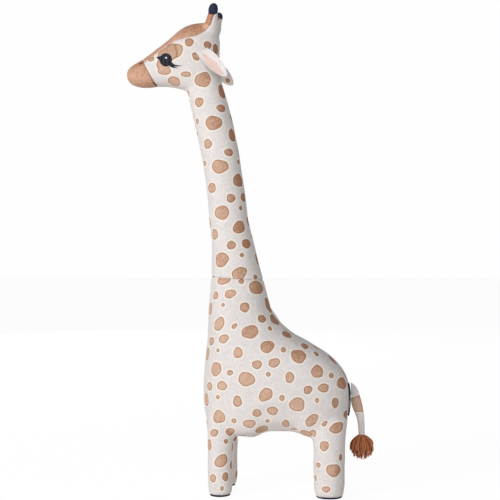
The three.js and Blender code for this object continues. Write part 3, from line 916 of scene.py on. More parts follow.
@dataclass
class Torso:
    """The sections that the trunk and the neck share, so that their skins meet at the shoulder seam."""

    belly: float = 78 * MM
    seam: float = 295.5 * MM
    seam_slope: float = 0.062
    seam_drop: float = 1.5 * MM
    # How far both skins run past the seam, and the stretches where it holds their cloth and lets go
    overlap: float = 45 * MM
    hold: float = 14 * MM
    ease: float = 10 * MM
    chest: float = -63 * MM
    length: float = 201 * MM
    width: float = 116 * MM
    seam_x: float = -17.3 * MM
    seam_length: float = 70.9 * MM
    seam_width: float = 68 * MM
    neck: float = 248 * MM
    lean: float = 40.6 * MM
    top_length: float = 53 * MM
    top_width: float = 51 * MM
    arch: float = 10 * MM
    arch_ends: Pair = (0.33, 0.74)
    # Height, front, back, width and boxiness, in shares
    trunk_shares: Rows = (
        (0.0, 0.46, 0.54, 0.06, 1), (0.0, 0.33, 0.68, 0.24, 1), (0.0, 0.2, 0.82, 0.4, 1),
        (0.006, 0.14, 0.88, 0.58, 1), (0.037, 0.06, 0.95, 0.81, 1), (0.092, 0.02, 0.985, 0.93, 1),
        (0.188, 0, 1, 0.985, 1), (0.34, 0, 1, 1, 1), (0.443, 0.007, 0.94, 1, 0.9),
        (0.52, 0.018, 0.85, 0.975, 0.75), (0.57, 0.025, 0.748, 0.945, 0.6),
        (0.622, 0.031, 0.632, 0.905, 0.45), (0.698, 0.035, 0.53, 0.83, 0.3),
        (0.8, 0.031, 0.46, 0.73, 0.15), (0.902, 0.042, 0.434, 0.645, 0), (1, 0.051, 0.404, 0.586, 0),
    )
    # Height, lean and flare, in shares
    neck_shares: Rows = (
        (0.05, 0.035, 0.82), (0.093, 0.067, 0.6), (0.183, 0.135, 0.3), (0.272, 0.236, 0.13),
        (0.362, 0.305, 0), (0.541, 0.426, -0.06), (0.72, 0.613, -0.02), (0.855, 0.785, 0.05),
        (0.988, 0.988, -0.02), (1.1, 1.14, -0.2), (1.2, 1.2, -0.6),
    )

    def sections(self) -> np.ndarray:
        """The torso's sections, from the belly to the head.

        Returns:
            Height, front, back, width and roundness of each, one a row.
        """
        rows = []
        for height, front, back, width, boxy in self.trunk_shares:
            z = self.belly + (self.seam - self.belly) * height
            ends = (self.chest + self.length * front, self.chest + self.length * back)
            rows.append((z, *ends, self.width * width, 2.2 + 0.6 * boxy))
        for height, lean, flare in self.neck_shares:
            half = (self.top_length + (self.seam_length - self.top_length) * flare) / 2
            x = self.seam_x - self.lean * lean
            width = self.top_width + (self.seam_width - self.top_width) * flare
            rows.append((self.seam + self.neck * height, x - half, x + half, width, 2.2))
        return eased(rows)

    def rings(self, low: float, high: float) -> list[np.ndarray]:
        """The torso's rings between two heights, with the belly arched up between the legs.

        Args:
            low: The lower height.
            high: The upper height.

        Returns:
            The rings, from the lowest up.
        """
        made = []
        for z, front, back, width, boxy in self.sections():
            if low <= z <= high:
                middle = np.array([(front + back) / 2, 0, z])
                points = ring(middle, X, Y, ((back - front) / 2, width / 2), boxy)
                share = (points[:, 0] - self.chest) / self.length - self.arch_ends[0]
                share = share / np.ptp(self.arch_ends)
                along = smooth(np.minimum(share, 1 - share) / 0.3)
                fade = 1 - smooth((z - self.belly) / (0.4 * (self.seam - self.belly)))
                made.append(points + np.outer(self.arch * along * fade, Z))
        return made

    def shoulder(self) -> Field:
        """The field of the shoulder seam, positive above it, which drops a little to the back."""
        return plane((self.seam_x, 0, self.seam - self.seam_drop), (self.seam_slope, 0, 1))

    def shoulder_seam(self) -> Seam:
        """The shoulder seam itself."""
        return Seam(self.shoulder(), depth=1.3 * MM, width=1.6 * MM)


TORSO = Torso()


def stuffed(name: str, forms: list[Piece], voxel: float, held: Field, swell: float, lumps: Pair) -> Piece:
    """Joins forms into one even cloth surface, and fills it out.

    Args:
        name: The skin's name.
        forms: Closed forms that overlap.
        voxel: The size of the surface's faces.
        held: Gives 1 where a seam holds the cloth and 0 where it is free.
        swell: The furthest that the filling pushes a point out.
        lumps: The height and the width of the filling's lumps.

    Returns:
        The skin.
    """
    skin = joined(name, forms)
    apply_modifier(skin, "REMESH", mode="VOXEL", voxel_size=voxel)
    apply_modifier(skin, "SMOOTH", factor=0.5, iterations=4)
    fixed = held(points_of(skin))
    puff(skin, fixed, swell)
    lumpy(skin, *lumps, fixed)
    apply_modifier(skin, "SUBSURF", levels=1, render_levels=1)
    return skin


@dataclass
class Body:
    """The trunk and its four legs: one stuffed skin, with a sole and a stiffening board in each foot."""

    leg_spread: float = 68 * MM
    leg_tuck: float = 8 * MM
    leg_root: float = 26 * MM
    voxel: float = 3.8 * MM
    swell: float = 2.5 * MM
    lumps: Pair = (0.9 * MM, 30 * MM)
    hem: float = 0.9 * MM
    fold: float = 1.6 * MM
    foot: float = 8 * MM
    # How far the belly panel ends from the chest and rump, its half width, and how high it reaches
    belly_inset: float = 12 * MM
    belly_half: float = 23 * MM
    belly_rise: float = 12 * MM
    # Each pair's name, place along the toy, length and width
    legs: tuple[tuple[str, float, float, float], ...] = (
        ("front", -37 * MM, 33 * MM, 38 * MM),
        ("rear", 111 * MM, 41.5 * MM, 43 * MM),
    )
    # Height, length, width and tuck, in shares
    leg_shares: Rows = (
        (0, 0.8, 0.8, 0), (0.008, 0.88, 0.88, 0), (0.04, 0.95, 0.95, 0), (0.1, 1.01, 1.01, 0),
        (0.3, 1.0, 1.0, 0), (0.5, 1, 1, 0), (0.75, 1.05, 1, 0.3), (1, 1.25, 0.9, 1),
    )
    # Column, row, width and height in the picture, in pixels, and any tilt in degrees
    spots: Rows = (
        (223.7, 279.3, 13, 10.5, 12), (241.4, 281, 5.6, 5, 20), (255.3, 276.7, 4, 4.5),
        (256.4, 287.4, 14, 12.5), (215.7, 295.2, 5, 7.5), (230.3, 293.5, 11.7, 8.3, 12),
        (223, 304.6, 3.7, 3.7), (268.2, 304.8, 6, 10.6), (244.7, 307, 9.5, 10), (210.5, 308.4, 4.4, 12),
        (261.9, 318.4, 8, 7.6), (274, 319.6, 6.6, 7), (269.9, 328.1, 3.7, 4.4),
        (219.3, 323.7, 13.5, 9.5, 50), (234.4, 325.7, 6.6, 4.2, 45), (250.1, 331.6, 17, 13, 10),
        (287, 334.2, 9.5, 5.6, -47), (211.6, 340.7, 4.7, 8), (223.7, 338.5, 10, 8.4, 15),
        (304.8, 345.7, 7.8, 5, -25), (317, 347.4, 8.2, 3, -24), (267.4, 346.3, 14, 12, 35),
        (283.4, 349.4, 5, 5.6), (217.9, 349.9, 3.2, 3.5), (207.6, 353.6, 3.7, 12), (238, 352.4, 8.8, 11),
        (298.5, 355.8, 15.4, 13), (316.3, 353.6, 3.7, 3.7), (332.6, 359.5, 10.2, 5, -52),
        (257, 364.2, 10, 8.5, 15), (274.3, 362.4, 11.7, 8.8, 15), (216.1, 368.7, 13, 10.3, 65),
        (230, 372.4, 6, 5.4, 20), (317.2, 371.2, 11.7, 13), (268.3, 374, 4.7, 4.7),
        (331.3, 375.2, 4.7, 5.4), (344, 372.7, 2, 7), (289.7, 377.1, 8.8, 11), (246.5, 378.8, 16.5, 14),
        (341.8, 382.9, 8.8, 12), (209.7, 385.9, 4.8, 8.5), (222, 385.4, 10, 8.8),
        (307.9, 389.5, 9, 8, 30), (323.5, 387.6, 10.6, 9), (217.9, 396.7, 3.7, 4),
        (265.7, 394.4, 15, 12, 45), (206.4, 399.1, 4.4, 12.5), (237.4, 401, 8.8, 11),
        (282, 397.6, 5.4, 6), (317, 400, 4, 5), (335.2, 402.5, 6.6, 10.6), (297.1, 404.2, 15, 14, 20),
        (257, 412.6, 8.8, 8), (272.6, 410.5, 10.6, 8.4), (219, 416.4, 11.4, 13), (346.2, 414.5, 4.7, 8),
        (234, 420.4, 4.7, 4.7), (267.3, 420.6, 4, 3.7), (285.8, 423.3, 7.3, 7.3),
        (311.7, 419.9, 15, 9.5, 45), (324.7, 423.3, 6.8, 4, 45), (336.8, 427.4, 15, 10, 30),
        (249.4, 423.3, 13, 8), (293.7, 428.7, 6.6, 1.8), (261.9, 428.9, 11.7, 6), (230.3, 431.4, 9, 7.3),
        (214.2, 432.5, 8, 7.3), (242.1, 435.5, 8, 3), (305.9, 433.1, 12, 5, -20), (313.2, 432.8, 6, 6.6),
        (225.9, 441, 4, 4.7), (209.1, 444.6, 5, 11.4), (232.5, 446.8, 2, 9), (221.2, 460.4, 15, 11, 40),
        (231.5, 464.4, 4.4, 8.8), (212.9, 477.9, 6, 8), (225.4, 476.4, 6, 9), (222, 488.1, 3.5, 4.7),
        (236.9, 473.9, 5, 8), (324.2, 445.7, 9, 10), (340.6, 457, 3, 7), (318.3, 464.7, 4.4, 4.7),
        (333.5, 469.9, 14.7, 12.5), (315.4, 477.6, 2, 6), (326.1, 489, 8.5, 6),
    )

    def leg(self, name: str, x: float, length: float, width: float, side: Side) -> Piece:
        """Lofts one leg from its sole up into the trunk.

        Args:
            name: Front or rear.
            x: Its place along the toy.
            length: Its length along the toy.
            width: Its width.
            side: The toy's side.

        Returns:
            The leg's form.
        """
        rings = []
        for height, long, wide, tuck in eased(self.leg_shares, steps=6, reach=3):
            y = side.value * (self.leg_spread / 2 - self.leg_tuck * tuck)
            z = self.hem + (TORSO.belly + self.leg_root - self.hem) * height
            rings.append(ring(np.array([x, y, z]), X, Y, (length * long / 2, width * wide / 2)))
        return loft(f"{name}_{side.word}_leg_form", rings)

    def held(self, points: np.ndarray) -> np.ndarray:
        """Where the shoulder seam and the soles hold the cloth.

        Args:
            points: The skin's points, one a row.

        Returns:
            1 where they hold it and 0 where it is free, for each point.
        """
        high = (points[:, 2] - TORSO.seam + TORSO.hold) / TORSO.ease
        low = (self.foot - points[:, 2]) / (6 * MM)
        return np.maximum(np.clip(high, 0, 1), np.clip(low, 0, 1))

    def fold_hems(self, skin: Piece) -> None:
        """Lets the cloth fold over each sole's rim at the toe and heel, and show the sole between.

        Args:
            skin: The skin.
        """
        points = points_of(skin)
        for _, x, length, _ in self.legs:
            share = (points[:, 0] - x) / (length / 2)
            low = np.clip(1 - points[:, 2] / self.foot, 0, 1) * (np.abs(share) < 1.3)
            points[:, 2] -= self.fold * low * np.minimum(share**2, 1)
            points[:, 0] += np.sign(share) * self.fold / 2 * low * np.minimum(share**2, 1)
        points[:, 2] = np.maximum(points[:, 2], 0.2 * MM)
        set_points(skin, points)

    def belly_seam(self, points: np.ndarray) -> np.ndarray:
        """The distance of points from the belly panel's oval edge.

        Args:
            points: The points, one a row.

        Returns:
            The distances, above zero outside the oval.
        """
        middle = TORSO.chest + TORSO.length / 2
        long = (points[:, 0] - middle) / (TORSO.length / 2 - self.belly_inset)
        return (np.hypot(long, points[:, 1] / self.belly_half) - 1) * self.belly_half

    def skin(self) -> Piece:
        """Makes the stuffed skin of the trunk and legs, up to the shoulder seam.

        Returns:
            The skin, sewn and printed.
        """
        trunk = loft("trunk_form", TORSO.rings(0, TORSO.seam + TORSO.overlap))
        legs = [self.leg(*leg, side) for leg in self.legs for side in Side]
        skin = stuffed("body_plush", [trunk, *legs], self.voxel, self.held, self.swell, self.lumps)
        self.fold_hems(skin)
        low = TORSO.belly + self.belly_rise
        back = Seam(lambda p: p[:, 1], 1.0 * MM, where=lambda p: p[:, 2] - low)
        belly = Seam(self.belly_seam, 1.1 * MM, where=lambda p: low - p[:, 2] - np.abs(p[:, 1]) * 0.2)
        sew(skin, [TORSO.shoulder_seam(), back, belly])
        ink = Print(skin, seed=11)
        ink.print_seen(self.spots)
        ink.print_unseen(10 * MM, TORSO.seam + 2 * MM)
        ink.paint()
        shoulder = TORSO.shoulder()
        keep_part(skin, lambda p: -shoulder(p))
        close(skin)
        return skin

    def dress(self) -> Piece:
        """Builds the body's pieces over the CAD nodes that they stand for.

        Returns:
            The body's skin.
        """
        skin = self.skin()
        dress(skin, CREAM)
        nodes = ["body_left_panel", "body_right_panel", "belly_panel", "body_stuffing"]
        for foot in [f"{leg[0]}_{side.word}" for leg in self.legs for side in Side]:
            nodes += [f"{foot}_leg_cover", f"{foot}_leg_stuffing"]
            self.sole(foot)
            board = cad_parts[f"{foot}_sole_board"]
            board.data.materials.clear()
            board.data.materials.append(FIBREBOARD)
        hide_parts(*nodes)
        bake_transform(skin)
        return skin

    def sole(self, foot: str) -> None:
        """Makes a felt sole with a rounded rim.

        Args:
            foot: The foot's name, such as front_left.
        """
        low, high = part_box(f"{foot}_sole")
        bpy.ops.object.select_all(action="DESELECT")
        bpy.ops.mesh.primitive_cylinder_add(vertices=64, radius=0.5, depth=1, location=(low + high) / 2)
        made = bpy.context.object
        made.name = made.data.name = f"{foot}_felt_sole"
        made.scale = high - low
        bpy.ops.object.transform_apply(location=True, rotation=True, scale=True)
        apply_modifier(made, "BEVEL", width=0.7 * MM, segments=3, limit_method="ANGLE")
        dye(made, PLAIN)
        dress(made, SOLE_FELT)
        bpy.ops.object.shade_smooth_by_angle(angle=math.radians(40))
        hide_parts(f"{foot}_sole")
        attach(made, "root")


@dataclass
class Horns:
    """Two stuffed horns, each a brown front, a cream back and a dark cap, on roots in the head's skin."""

    foot: Place = (-50.0 * MM, 16 * MM, 643.4 * MM)
    lean: float = 2.2 * MM
    spread: float = 10 * MM
    rise: float = 14.4 * MM
    cap_height: float = 13.8 * MM
    cap_size: float = 13.2 * MM
    cloth: float = 1.0 * MM
    split: Place = (-44.2 * MM, 0, 658 * MM)
    split_slope: float = 0.42
    # Height along the horn, half length, half width and shift forwards, in millimetres
    root_rows: Rows = (
        (-28, 2, 2, 6), (-22, 7, 6, 2.5), (-16, 9, 7.5, 1.2), (-7, 10.6, 8.8, 1.1), (-2, 11, 9.2, 1.0),
        (2, 10.2, 8.8, 1.1), (5, 9.3, 8.2, 0.9), (6.5, 7, 6, 0.9),
    )
    sleeve_rows: Rows = ((-3, 9.2, 8, 1.2), (4, 8.9, 7.9, 1), (10, 7.8, 7.2, 0.6), (17.6, 6.4, 6.3, 0))
    # Height and width, in shares
    cap_shares: Rows = (
        (-0.02, 0.82), (0.0, 0.93), (0.12, 1.0), (0.35, 1.01), (0.6, 0.92), (0.8, 0.73), (0.93, 0.46),
        (1.0, 0.12),
    )

    def axis(self, side: Side) -> tuple[np.ndarray, np.ndarray, np.ndarray]:
        """The line that a horn stands along.

        Args:
            side: The toy's side.

        Returns:
            The horn's foot, its tip and its direction.
        """
        foot = np.array(self.foot) * (1, side.value, 1)
        tip = foot + np.array([self.lean, side.value * self.spread, self.rise])
        return foot, tip, (tip - foot) / np.linalg.norm(tip - foot)

    def form(self, name: str, side: Side, rows: Rows) -> Piece:
        """Lofts a form round the horn's axis.

        Args:
            name: The form's name.
            side: The toy's side.
            rows: Height, half length, half width and shift forwards of each ring, in millimetres.

        Returns:
            The form.
        """
        foot, _, axis = self.axis(side)
        across = np.cross(axis, X)
        rings = [
            ring(foot + axis * height * MM - X * shift * MM, X, across, (long * MM, wide * MM), 2.0, 40)
            for height, long, wide, shift in eased(rows)
        ]
        return loft(name, rings)

    def cap(self, name: str, side: Side) -> Piece:
        """Lofts the round cap on the horn's tip.

        Args:
            name: The cap's name.
            side: The toy's side.

        Returns:
            The cap.
        """
        _, tip, axis = self.axis(side)
        across = np.cross(axis, X)
        rings = []
        for rise, wide in eased(self.cap_shares, steps=6, reach=4):
            half = self.cap_size * wide / 2
            middle = tip + axis * self.cap_height * rise
            rings.append(ring(middle, X, across, (half, half), 2.0, 40))
        return loft(name, rings)

    def dress(self) -> None:
        """Builds both horns above their roots."""
        split = plane(self.split, (1, 0, -self.split_slope))
        for side in Side:
            horn = f"{side.word}_horn"
            front = self.form(f"{horn}_front_plush", side, self.sleeve_rows)
            sew(front, [Seam(split, depth=0.7 * MM, width=1.0 * MM)])
            back = copy_of(front, f"{horn}_back_plush")
            keep_part(back, split)
            keep_part(front, lambda p: -split(p))
            cap = self.cap(f"{horn}_cap_plush", side)
            for piece, spot, tone, material, slot, nodes in (
                (front, DYED, -0.78, BROWN, "brown_cloth", ["front", "stuffing"]),
                (back, PLAIN, -0.2, CREAM, "plush_cloth", ["back"]),
                (cap, PLAIN, -0.2, NAVY, "cap_cloth", ["cap"]),
            ):
                dye(piece, spot, tone)
                if piece is not cap:
                    apply_modifier(piece, "SOLIDIFY", thickness=self.cloth, offset=-1, use_rim=True)
                dress(piece, material)
                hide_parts(*[f"{horn}_{node}" for node in nodes])
                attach(piece, "head")


HORNS = Horns()


@dataclass
class Head:
    """The neck and head: a cream skin with a brown forehead and muzzle panel."""

    tip: float = -169.6 * MM
    chin: float = 554.8 * MM
    length: float = 127.9 * MM
    height: float = 95.3 * MM
    width: float = 68 * MM
    voxel: float = 3.4 * MM
    swell: float = 1.6 * MM
    lumps: Pair = (0.6 * MM, 26 * MM)
    cloth: float = 1.2 * MM
    muzzle_slope: float = math.radians(28)
    tone: float = -0.25
    brow_tone: float = -0.08
    # Place along the head, top, bottom and width, in shares
    shares: Rows = (
        (-0.02, 0.265, 0.21, 0.1), (-0.008, 0.315, 0.155, 0.3), (0.035, 0.37, 0.093, 0.48),
        (0.12, 0.432, 0.058, 0.6), (0.214, 0.51, 0.05, 0.64), (0.3, 0.59, 0.07, 0.69),
        (0.41, 0.7, 0.068, 0.83), (0.52, 0.83, 0.04, 0.95), (0.615, 0.93, 0.009, 1),
        (0.72, 0.977, -0.04, 0.985), (0.83, 0.993, -0.1, 0.9), (0.92, 0.985, -0.05, 0.74),
        (0.98, 0.9, 0.2, 0.46), (1, 0.73, 0.48, 0.18),
    )
    # The forehead panel's lower edge in the picture, in pixels, from the horn to the muzzle
    forehead_edge: Rows = (
        (214.5, 14), (212.6, 18.5), (211.2, 23.5), (207.8, 27.5), (203, 31.4), (196.5, 34.8), (190, 36.4),
        (183, 37.8), (177, 39.6), (171, 42.4), (165, 46.6), (158, 51.9), (151, 57), (145, 62),
    )
    muzzle_edge: Pair = (148.3, 71.7)
    # Column, row, width and height in the picture, in pixels, and any tilt in degrees
    spots: Rows = (
        (188.6, 93.5, 2, 6), (222.2, 91.5, 8, 12), (199.1, 101.8, 8.5, 9.5), (221.1, 108, 8.5, 7.5),
        (230.9, 116.9, 3, 4), (213.7, 122.6, 17, 14, 10), (197.3, 120.9, 3, 5), (197.3, 134, 2, 6),
        (232.4, 135.1, 7.5, 12), (207.9, 143.6, 8, 9.5), (228.8, 152, 8.5, 7.6), (238.1, 151.7, 2, 8),
        (204.9, 163, 2.6, 5), (238.4, 161.7, 2, 4.4), (220, 166.2, 17, 13.5, 8),
        (238.2, 180.3, 9.5, 12.5), (211.8, 187.6, 7.3, 10), (231, 197.9, 9, 8.4),
        (243.5, 197.2, 5.6, 8.8), (240.6, 207.7, 3, 4.7), (222, 212.3, 14.8, 13.6, 10),
        (239.1, 226.9, 13, 11.5, 55), (214.8, 234.1, 5.6, 10.6), (231.3, 244.8, 9, 8.4),
        (246.4, 243.4, 8.8, 8.8), (241.8, 254.7, 4.4, 4), (256.9, 258.8, 3.7, 10),
        (221.8, 259.5, 14, 13.5, 25), (239.4, 273.2, 16, 12.3, 28), (213.7, 276.2, 2, 2),
        (255.3, 276.7, 4, 4.5), (151.1, 58.4, 6.4, 5.2, 45), (189.2, 41.9, 9, 8, -10),
        (207.6, 44.8, 7.5, 8), (195.8, 56.3, 9.5, 6, -50), (185.9, 73.9, 10, 5.5),
        (174.3, 81.1, 12.5, 9, -25), (203, 79.3, 16, 15, 20), (215.7, 48.8, 5, 10), (164.5, 69.8, 13, 10),
        (163, 54, 12, 9, 38), (170, 52.2, 14.8, 16.5, 10), (160.5, 63.5, 8, 10, -20),
    )
    crescent: tuple[float, ...] = (174.8, 50.6, 15.6, 15.4)

    def place(self, along: float, up: float) -> np.ndarray:
        """A place on the head's middle plane, in shares of its length and height."""
        return np.array([self.tip + self.length * along, 0, self.chin + self.height * up])

    def forehead(self, tree: BVHTree) -> Field:
        """The field of the forehead panel, positive inside it.

        Args:
            tree: The search tree of the head's skin, which the picture's edge is found on.

        Returns:
            The field, alike on both sides of the head.
        """
        hits = [PICTURE.hit(tree, x, y)[0] for x, y in self.forehead_edge]
        crown = tuple(self.place(0.96, 1.05)[[0, 2]])
        edge = [(hit.x, hit.z) if hit else crown for hit in hits]
        edge = eased([(edge[0][0] + 2 * MM, edge[0][1] + 40 * MM), *edge], steps=6, reach=4)

        def inside(points: np.ndarray) -> np.ndarray:
            """Measures how far points are from the edge, a chain of short lines.

            Args:
                points: The points, one a row.

            Returns:
                The distances, positive above the edge.
            """
            flat = points[:, [0, 2]]
            best = np.full(len(flat), 1.0)
            signs = np.ones(len(flat))
            for start, end in zip(edge[:-1], edge[1:]):
                step = end - start
                share = np.clip((flat - start) @ step / (step @ step), 0, 1)
                away = flat - start - share[:, None] * step
                far = np.linalg.norm(away, axis=1)
                turn = step[0] * away[:, 1] - step[1] * away[:, 0]
                signs = np.where(far < best, np.where(turn < 0, 1, -1), signs)
                best = np.minimum(best, far)
            return best * signs

        return inside

    def muzzle(self, tree: BVHTree) -> Field:
        """The field of the muzzle panel.

        Args:
            tree: The search tree of the head's skin.

        Returns:
            The field, positive in front of the panel's seam.
        """
        hit = PICTURE.hit(tree, *self.muzzle_edge)[0]
        cut = plane(tuple(hit), (-math.cos(self.muzzle_slope), 0, -math.sin(self.muzzle_slope)))
        low = self.chin - 10 * MM
        return lambda p: np.minimum(cut(p), p[:, 2] - low)

    def skin(self) -> tuple[Piece, Field, Field]:
        """Makes the stuffed skin of the neck and head.

        Returns:
            The skin, sewn and printed, and the fields of its forehead and muzzle.
        """
        rings = []
        for along, top, bottom, width in eased(self.shares, steps=6, reach=4):
            half = (self.height * (top - bottom) / 2, self.width * width / 2)
            rings.append(ring(self.place(along, (top + bottom) / 2), Z, Y, half))
        forms = [loft("skull_form", rings)]
        forms.append(loft("neck_form", TORSO.rings(TORSO.seam - TORSO.overlap, self.chin + 60 * MM)))
        forms += [HORNS.form(f"{side.word}_horn_root", side, HORNS.root_rows) for side in Side]
        held: Field = lambda p: np.clip((TORSO.seam + TORSO.hold - p[:, 2]) / TORSO.ease, 0, 1)
        skin = stuffed("neck_plush", forms, self.voxel, held, self.swell, self.lumps)
        tree = tree_of(skin)
        forehead, muzzle = self.forehead(tree), self.muzzle(tree)
        behind: Field = lambda p: -muzzle(p)
        cream: Field = lambda p: np.minimum(-forehead(p), -muzzle(p))
        seams = [Seam(muzzle, 0.8 * MM, 1.4 * MM), Seam(forehead, 0.8 * MM, 1.4 * MM, behind)]
        sew(skin, [TORSO.shoulder_seam(), *seams, Seam(lambda p: p[:, 1], 0.8 * MM, where=cream)])
        ink = Print(skin, seed=5, tone=self.tone)
        ink.print_seen(self.spots)
        ink.print_seen((self.crescent,), clear=0.5 * MM)
        ink.print_unseen(TORSO.seam - 4 * MM, self.chin + 0.82 * self.height)
        ink.paint()
        keep_part(skin, TORSO.shoulder())
        return skin, forehead, muzzle

    def dress(self) -> None:
        """Builds the neck's and head's skins, and the face on them."""
        skin, forehead, muzzle = self.skin()
        whole = tree_of(skin)
        brow = copy_of(skin, "forehead_plush")
        nose = copy_of(skin, "muzzle_plush")
        keep_part(brow, lambda p: np.minimum(forehead(p), -muzzle(p)))
        keep_part(nose, muzzle)
        keep_part(skin, lambda p: np.minimum(-forehead(p), -muzzle(p)))
        close(nose)
        for panel in (skin, brow):
            apply_modifier(panel, "SOLIDIFY", thickness=self.cloth, offset=-1, use_rim=True)
        for panel, tone in ((brow, self.brow_tone), (nose, self.tone)):
            dye(panel, DYED, tone)
            dress(panel, BROWN)
            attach(panel, "head")
        dress(skin, CREAM)
        kinds = ("left_panel", "right_panel", "stuffing")
        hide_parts(*[f"{part}_{kind}" for part in ("neck", "head") for kind in kinds])
        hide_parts("forehead_panel")
        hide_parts("muzzle_panel")
        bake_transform(skin)
        Face(whole).dress()


@dataclass
class Face:
    """The embroidery on both sides of the head, laid on its skin; its places are pixels of the picture."""

    tree: BVHTree
    thread: float = 0.8 * MM
    eye: Pair = (165.9, 59.5)
    eye_size: Pair = (12.3, 13.2)
    corner: Pair = (156.2, 57.0)
    corner_reach: float = 0.42
    lashes: tuple[Rows, ...] = (
        ((169.5, 61.5), (173.5, 65.2), (181.5, 65.6)),
        ((168.5, 63.0), (172.0, 66.5), (177.5, 67.4)),
    )
    glint: Pair = (166.4, 57.6)
    glint_size: float = 1.9
    nostril: Rows = ((139.2, 64.1), (140.8, 63.1), (142.6, 62.5))
    mouth: Rows = ((152.2, 81.4), (154.2, 83.4), (157.2, 84.6))
    # The share of its outline, and the height in threads, of each ring of a domed patch
    dome: Rows = ((1.0, -0.5), (1.0, 0.35), (0.96, 0.7), (0.85, 0.95), (0.6, 1.0), (0.3, 1.0))

    def on_skin(self, x: float, y: float, lift: float, side: Side) -> np.ndarray:
        """The point a little off the head's skin behind a pixel of the picture.

        Args:
            x: The pixel's column.
            y: The pixel's row.
            lift: How far off the skin it lies.
            side: The side of the head that it goes to.

        Returns:
            The point.
        """
        hit, facing = PICTURE.hit(self.tree, x, y)
        return np.array(hit + facing * lift) * (1, -side.value, 1)

    def eye_outline(self, angle: float) -> Pair:
        """The eye's edge in pixels from its middle, drawn out to a point at its inner corner.

        Args:
            angle: The direction from the eye's middle, counted from the picture's right.

        Returns:
            The offset across and down.
        """
        across, down = self.corner[0] - self.eye[0], self.corner[1] - self.eye[1]
        off = (angle - math.atan2(down, across) + math.pi) % (2 * math.pi) - math.pi
        wide, tall = self.eye_size[0] / 2, self.eye_size[1] / 2
        base = 1 / math.hypot(math.cos(angle) / wide, math.sin(angle) / tall)
        drawn = math.hypot(across, down) - base
        size = base + drawn * max(0.0, 1 - abs(off) / self.corner_reach) ** 1.5
        return size * math.cos(angle), size * math.sin(angle)

    def glint_outline(self, angle: float) -> Pair:
        """The glint's round edge in pixels from its middle, at an angle."""
        return self.glint_size / 2 * math.cos(angle), self.glint_size / 2 * math.sin(angle)

    def patch(
        self,
        name: str,
        middle: Pair,
        edge: Callable[[float], Pair],
        side: Side,
        lift: float = 0.0,
        steps: int = 48,
    ) -> Piece:
        """A domed patch of thread inside an outline.

        Args:
            name: The patch's name.
            middle: Its middle in pixels.
            edge: Gives its edge in pixels from the middle, by the angle.
            side: The side of the head.
            lift: How far off the skin its foot lies.
            steps: How many points its edge has.

        Returns:
            The patch.
        """
        edges = [edge(2 * math.pi * i / steps) for i in range(steps)]
        rings = []
        for share, height in self.dome:
            places = [(middle[0] + across * share, middle[1] + down * share) for across, down in edges]
            off = lift + height * self.thread
            rings.append(np.array([self.on_skin(x, y, off, side) for x, y in places]))
        return loft(name, rings)

    def stitch(self, name: str, line: Rows, widths: tuple[float, ...], side: Side) -> Piece:
        """A tapered line of stitches through points of the picture.

        Args:
            name: The stitch's name.
            line: Its points in pixels.
            widths: Its width in pixels at its start, middle and end.
            side: The side of the head.

        Returns:
            The stitch.
        """
        path = eased(line, steps=8, reach=4)
        last = len(path) - 1
        rings = []
        for i, (x, y) in enumerate(path):
            width = float(np.interp(i / last, [0, 0.5, 1], widths)) / 2
            nearby = path[min(i + 1, last)] - path[max(i - 1, 0)]
            aside = np.array([-nearby[1], nearby[0]]) / np.linalg.norm(nearby) * width
            section = []
            for angle in np.linspace(0, 2 * math.pi, 10, endpoint=False):
                off = aside * math.cos(angle)
                lift = self.thread * (0.25 + 0.7 * math.sin(angle))
                section.append(self.on_skin(x + off[0], y + off[1], lift, side))
            rings.append(np.array(section))
        return loft(name, rings)

    def dress(self) -> None:
        """Builds both eyes, with their lashes and glints, the nostrils and the mouth's ends."""
        for side in Side:
            word = side.word
            lashes = [self.stitch("lash", line, (3.2, 2.0, 0.35), side) for line in self.lashes]
            ball = self.patch(f"{word}_eye_embroidery", self.eye, self.eye_outline, side)
            eye = joined(f"{word}_eye_embroidery", [ball, *lashes])
            glint_name = f"{word}_eye_glint_embroidery"
            glint = self.patch(glint_name, self.glint, self.glint_outline, side, lift=0.6 * MM, steps=20)
            nostril = self.stitch(f"{word}_nostril_embroidery", self.nostril, (0.5, 1.5, 0.5), side)
            mouth = self.stitch(f"{word}_mouth_embroidery", self.mouth, (0.5, 1.2, 0.6), side)
            for piece, material, slot, node in (
                (eye, EYE_THREAD, "black_thread", "eye"),
                (glint, GLINT_THREAD, "white_thread", "eye_glint"),
                (nostril, BROWN_THREAD, "brown_thread", "nostril"),
                (mouth, BROWN_THREAD, "brown_thread", "mouth_stitch"),
            ):
                dress(piece, material)
                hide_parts(f"{word}_{node}")
                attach(piece, "head")


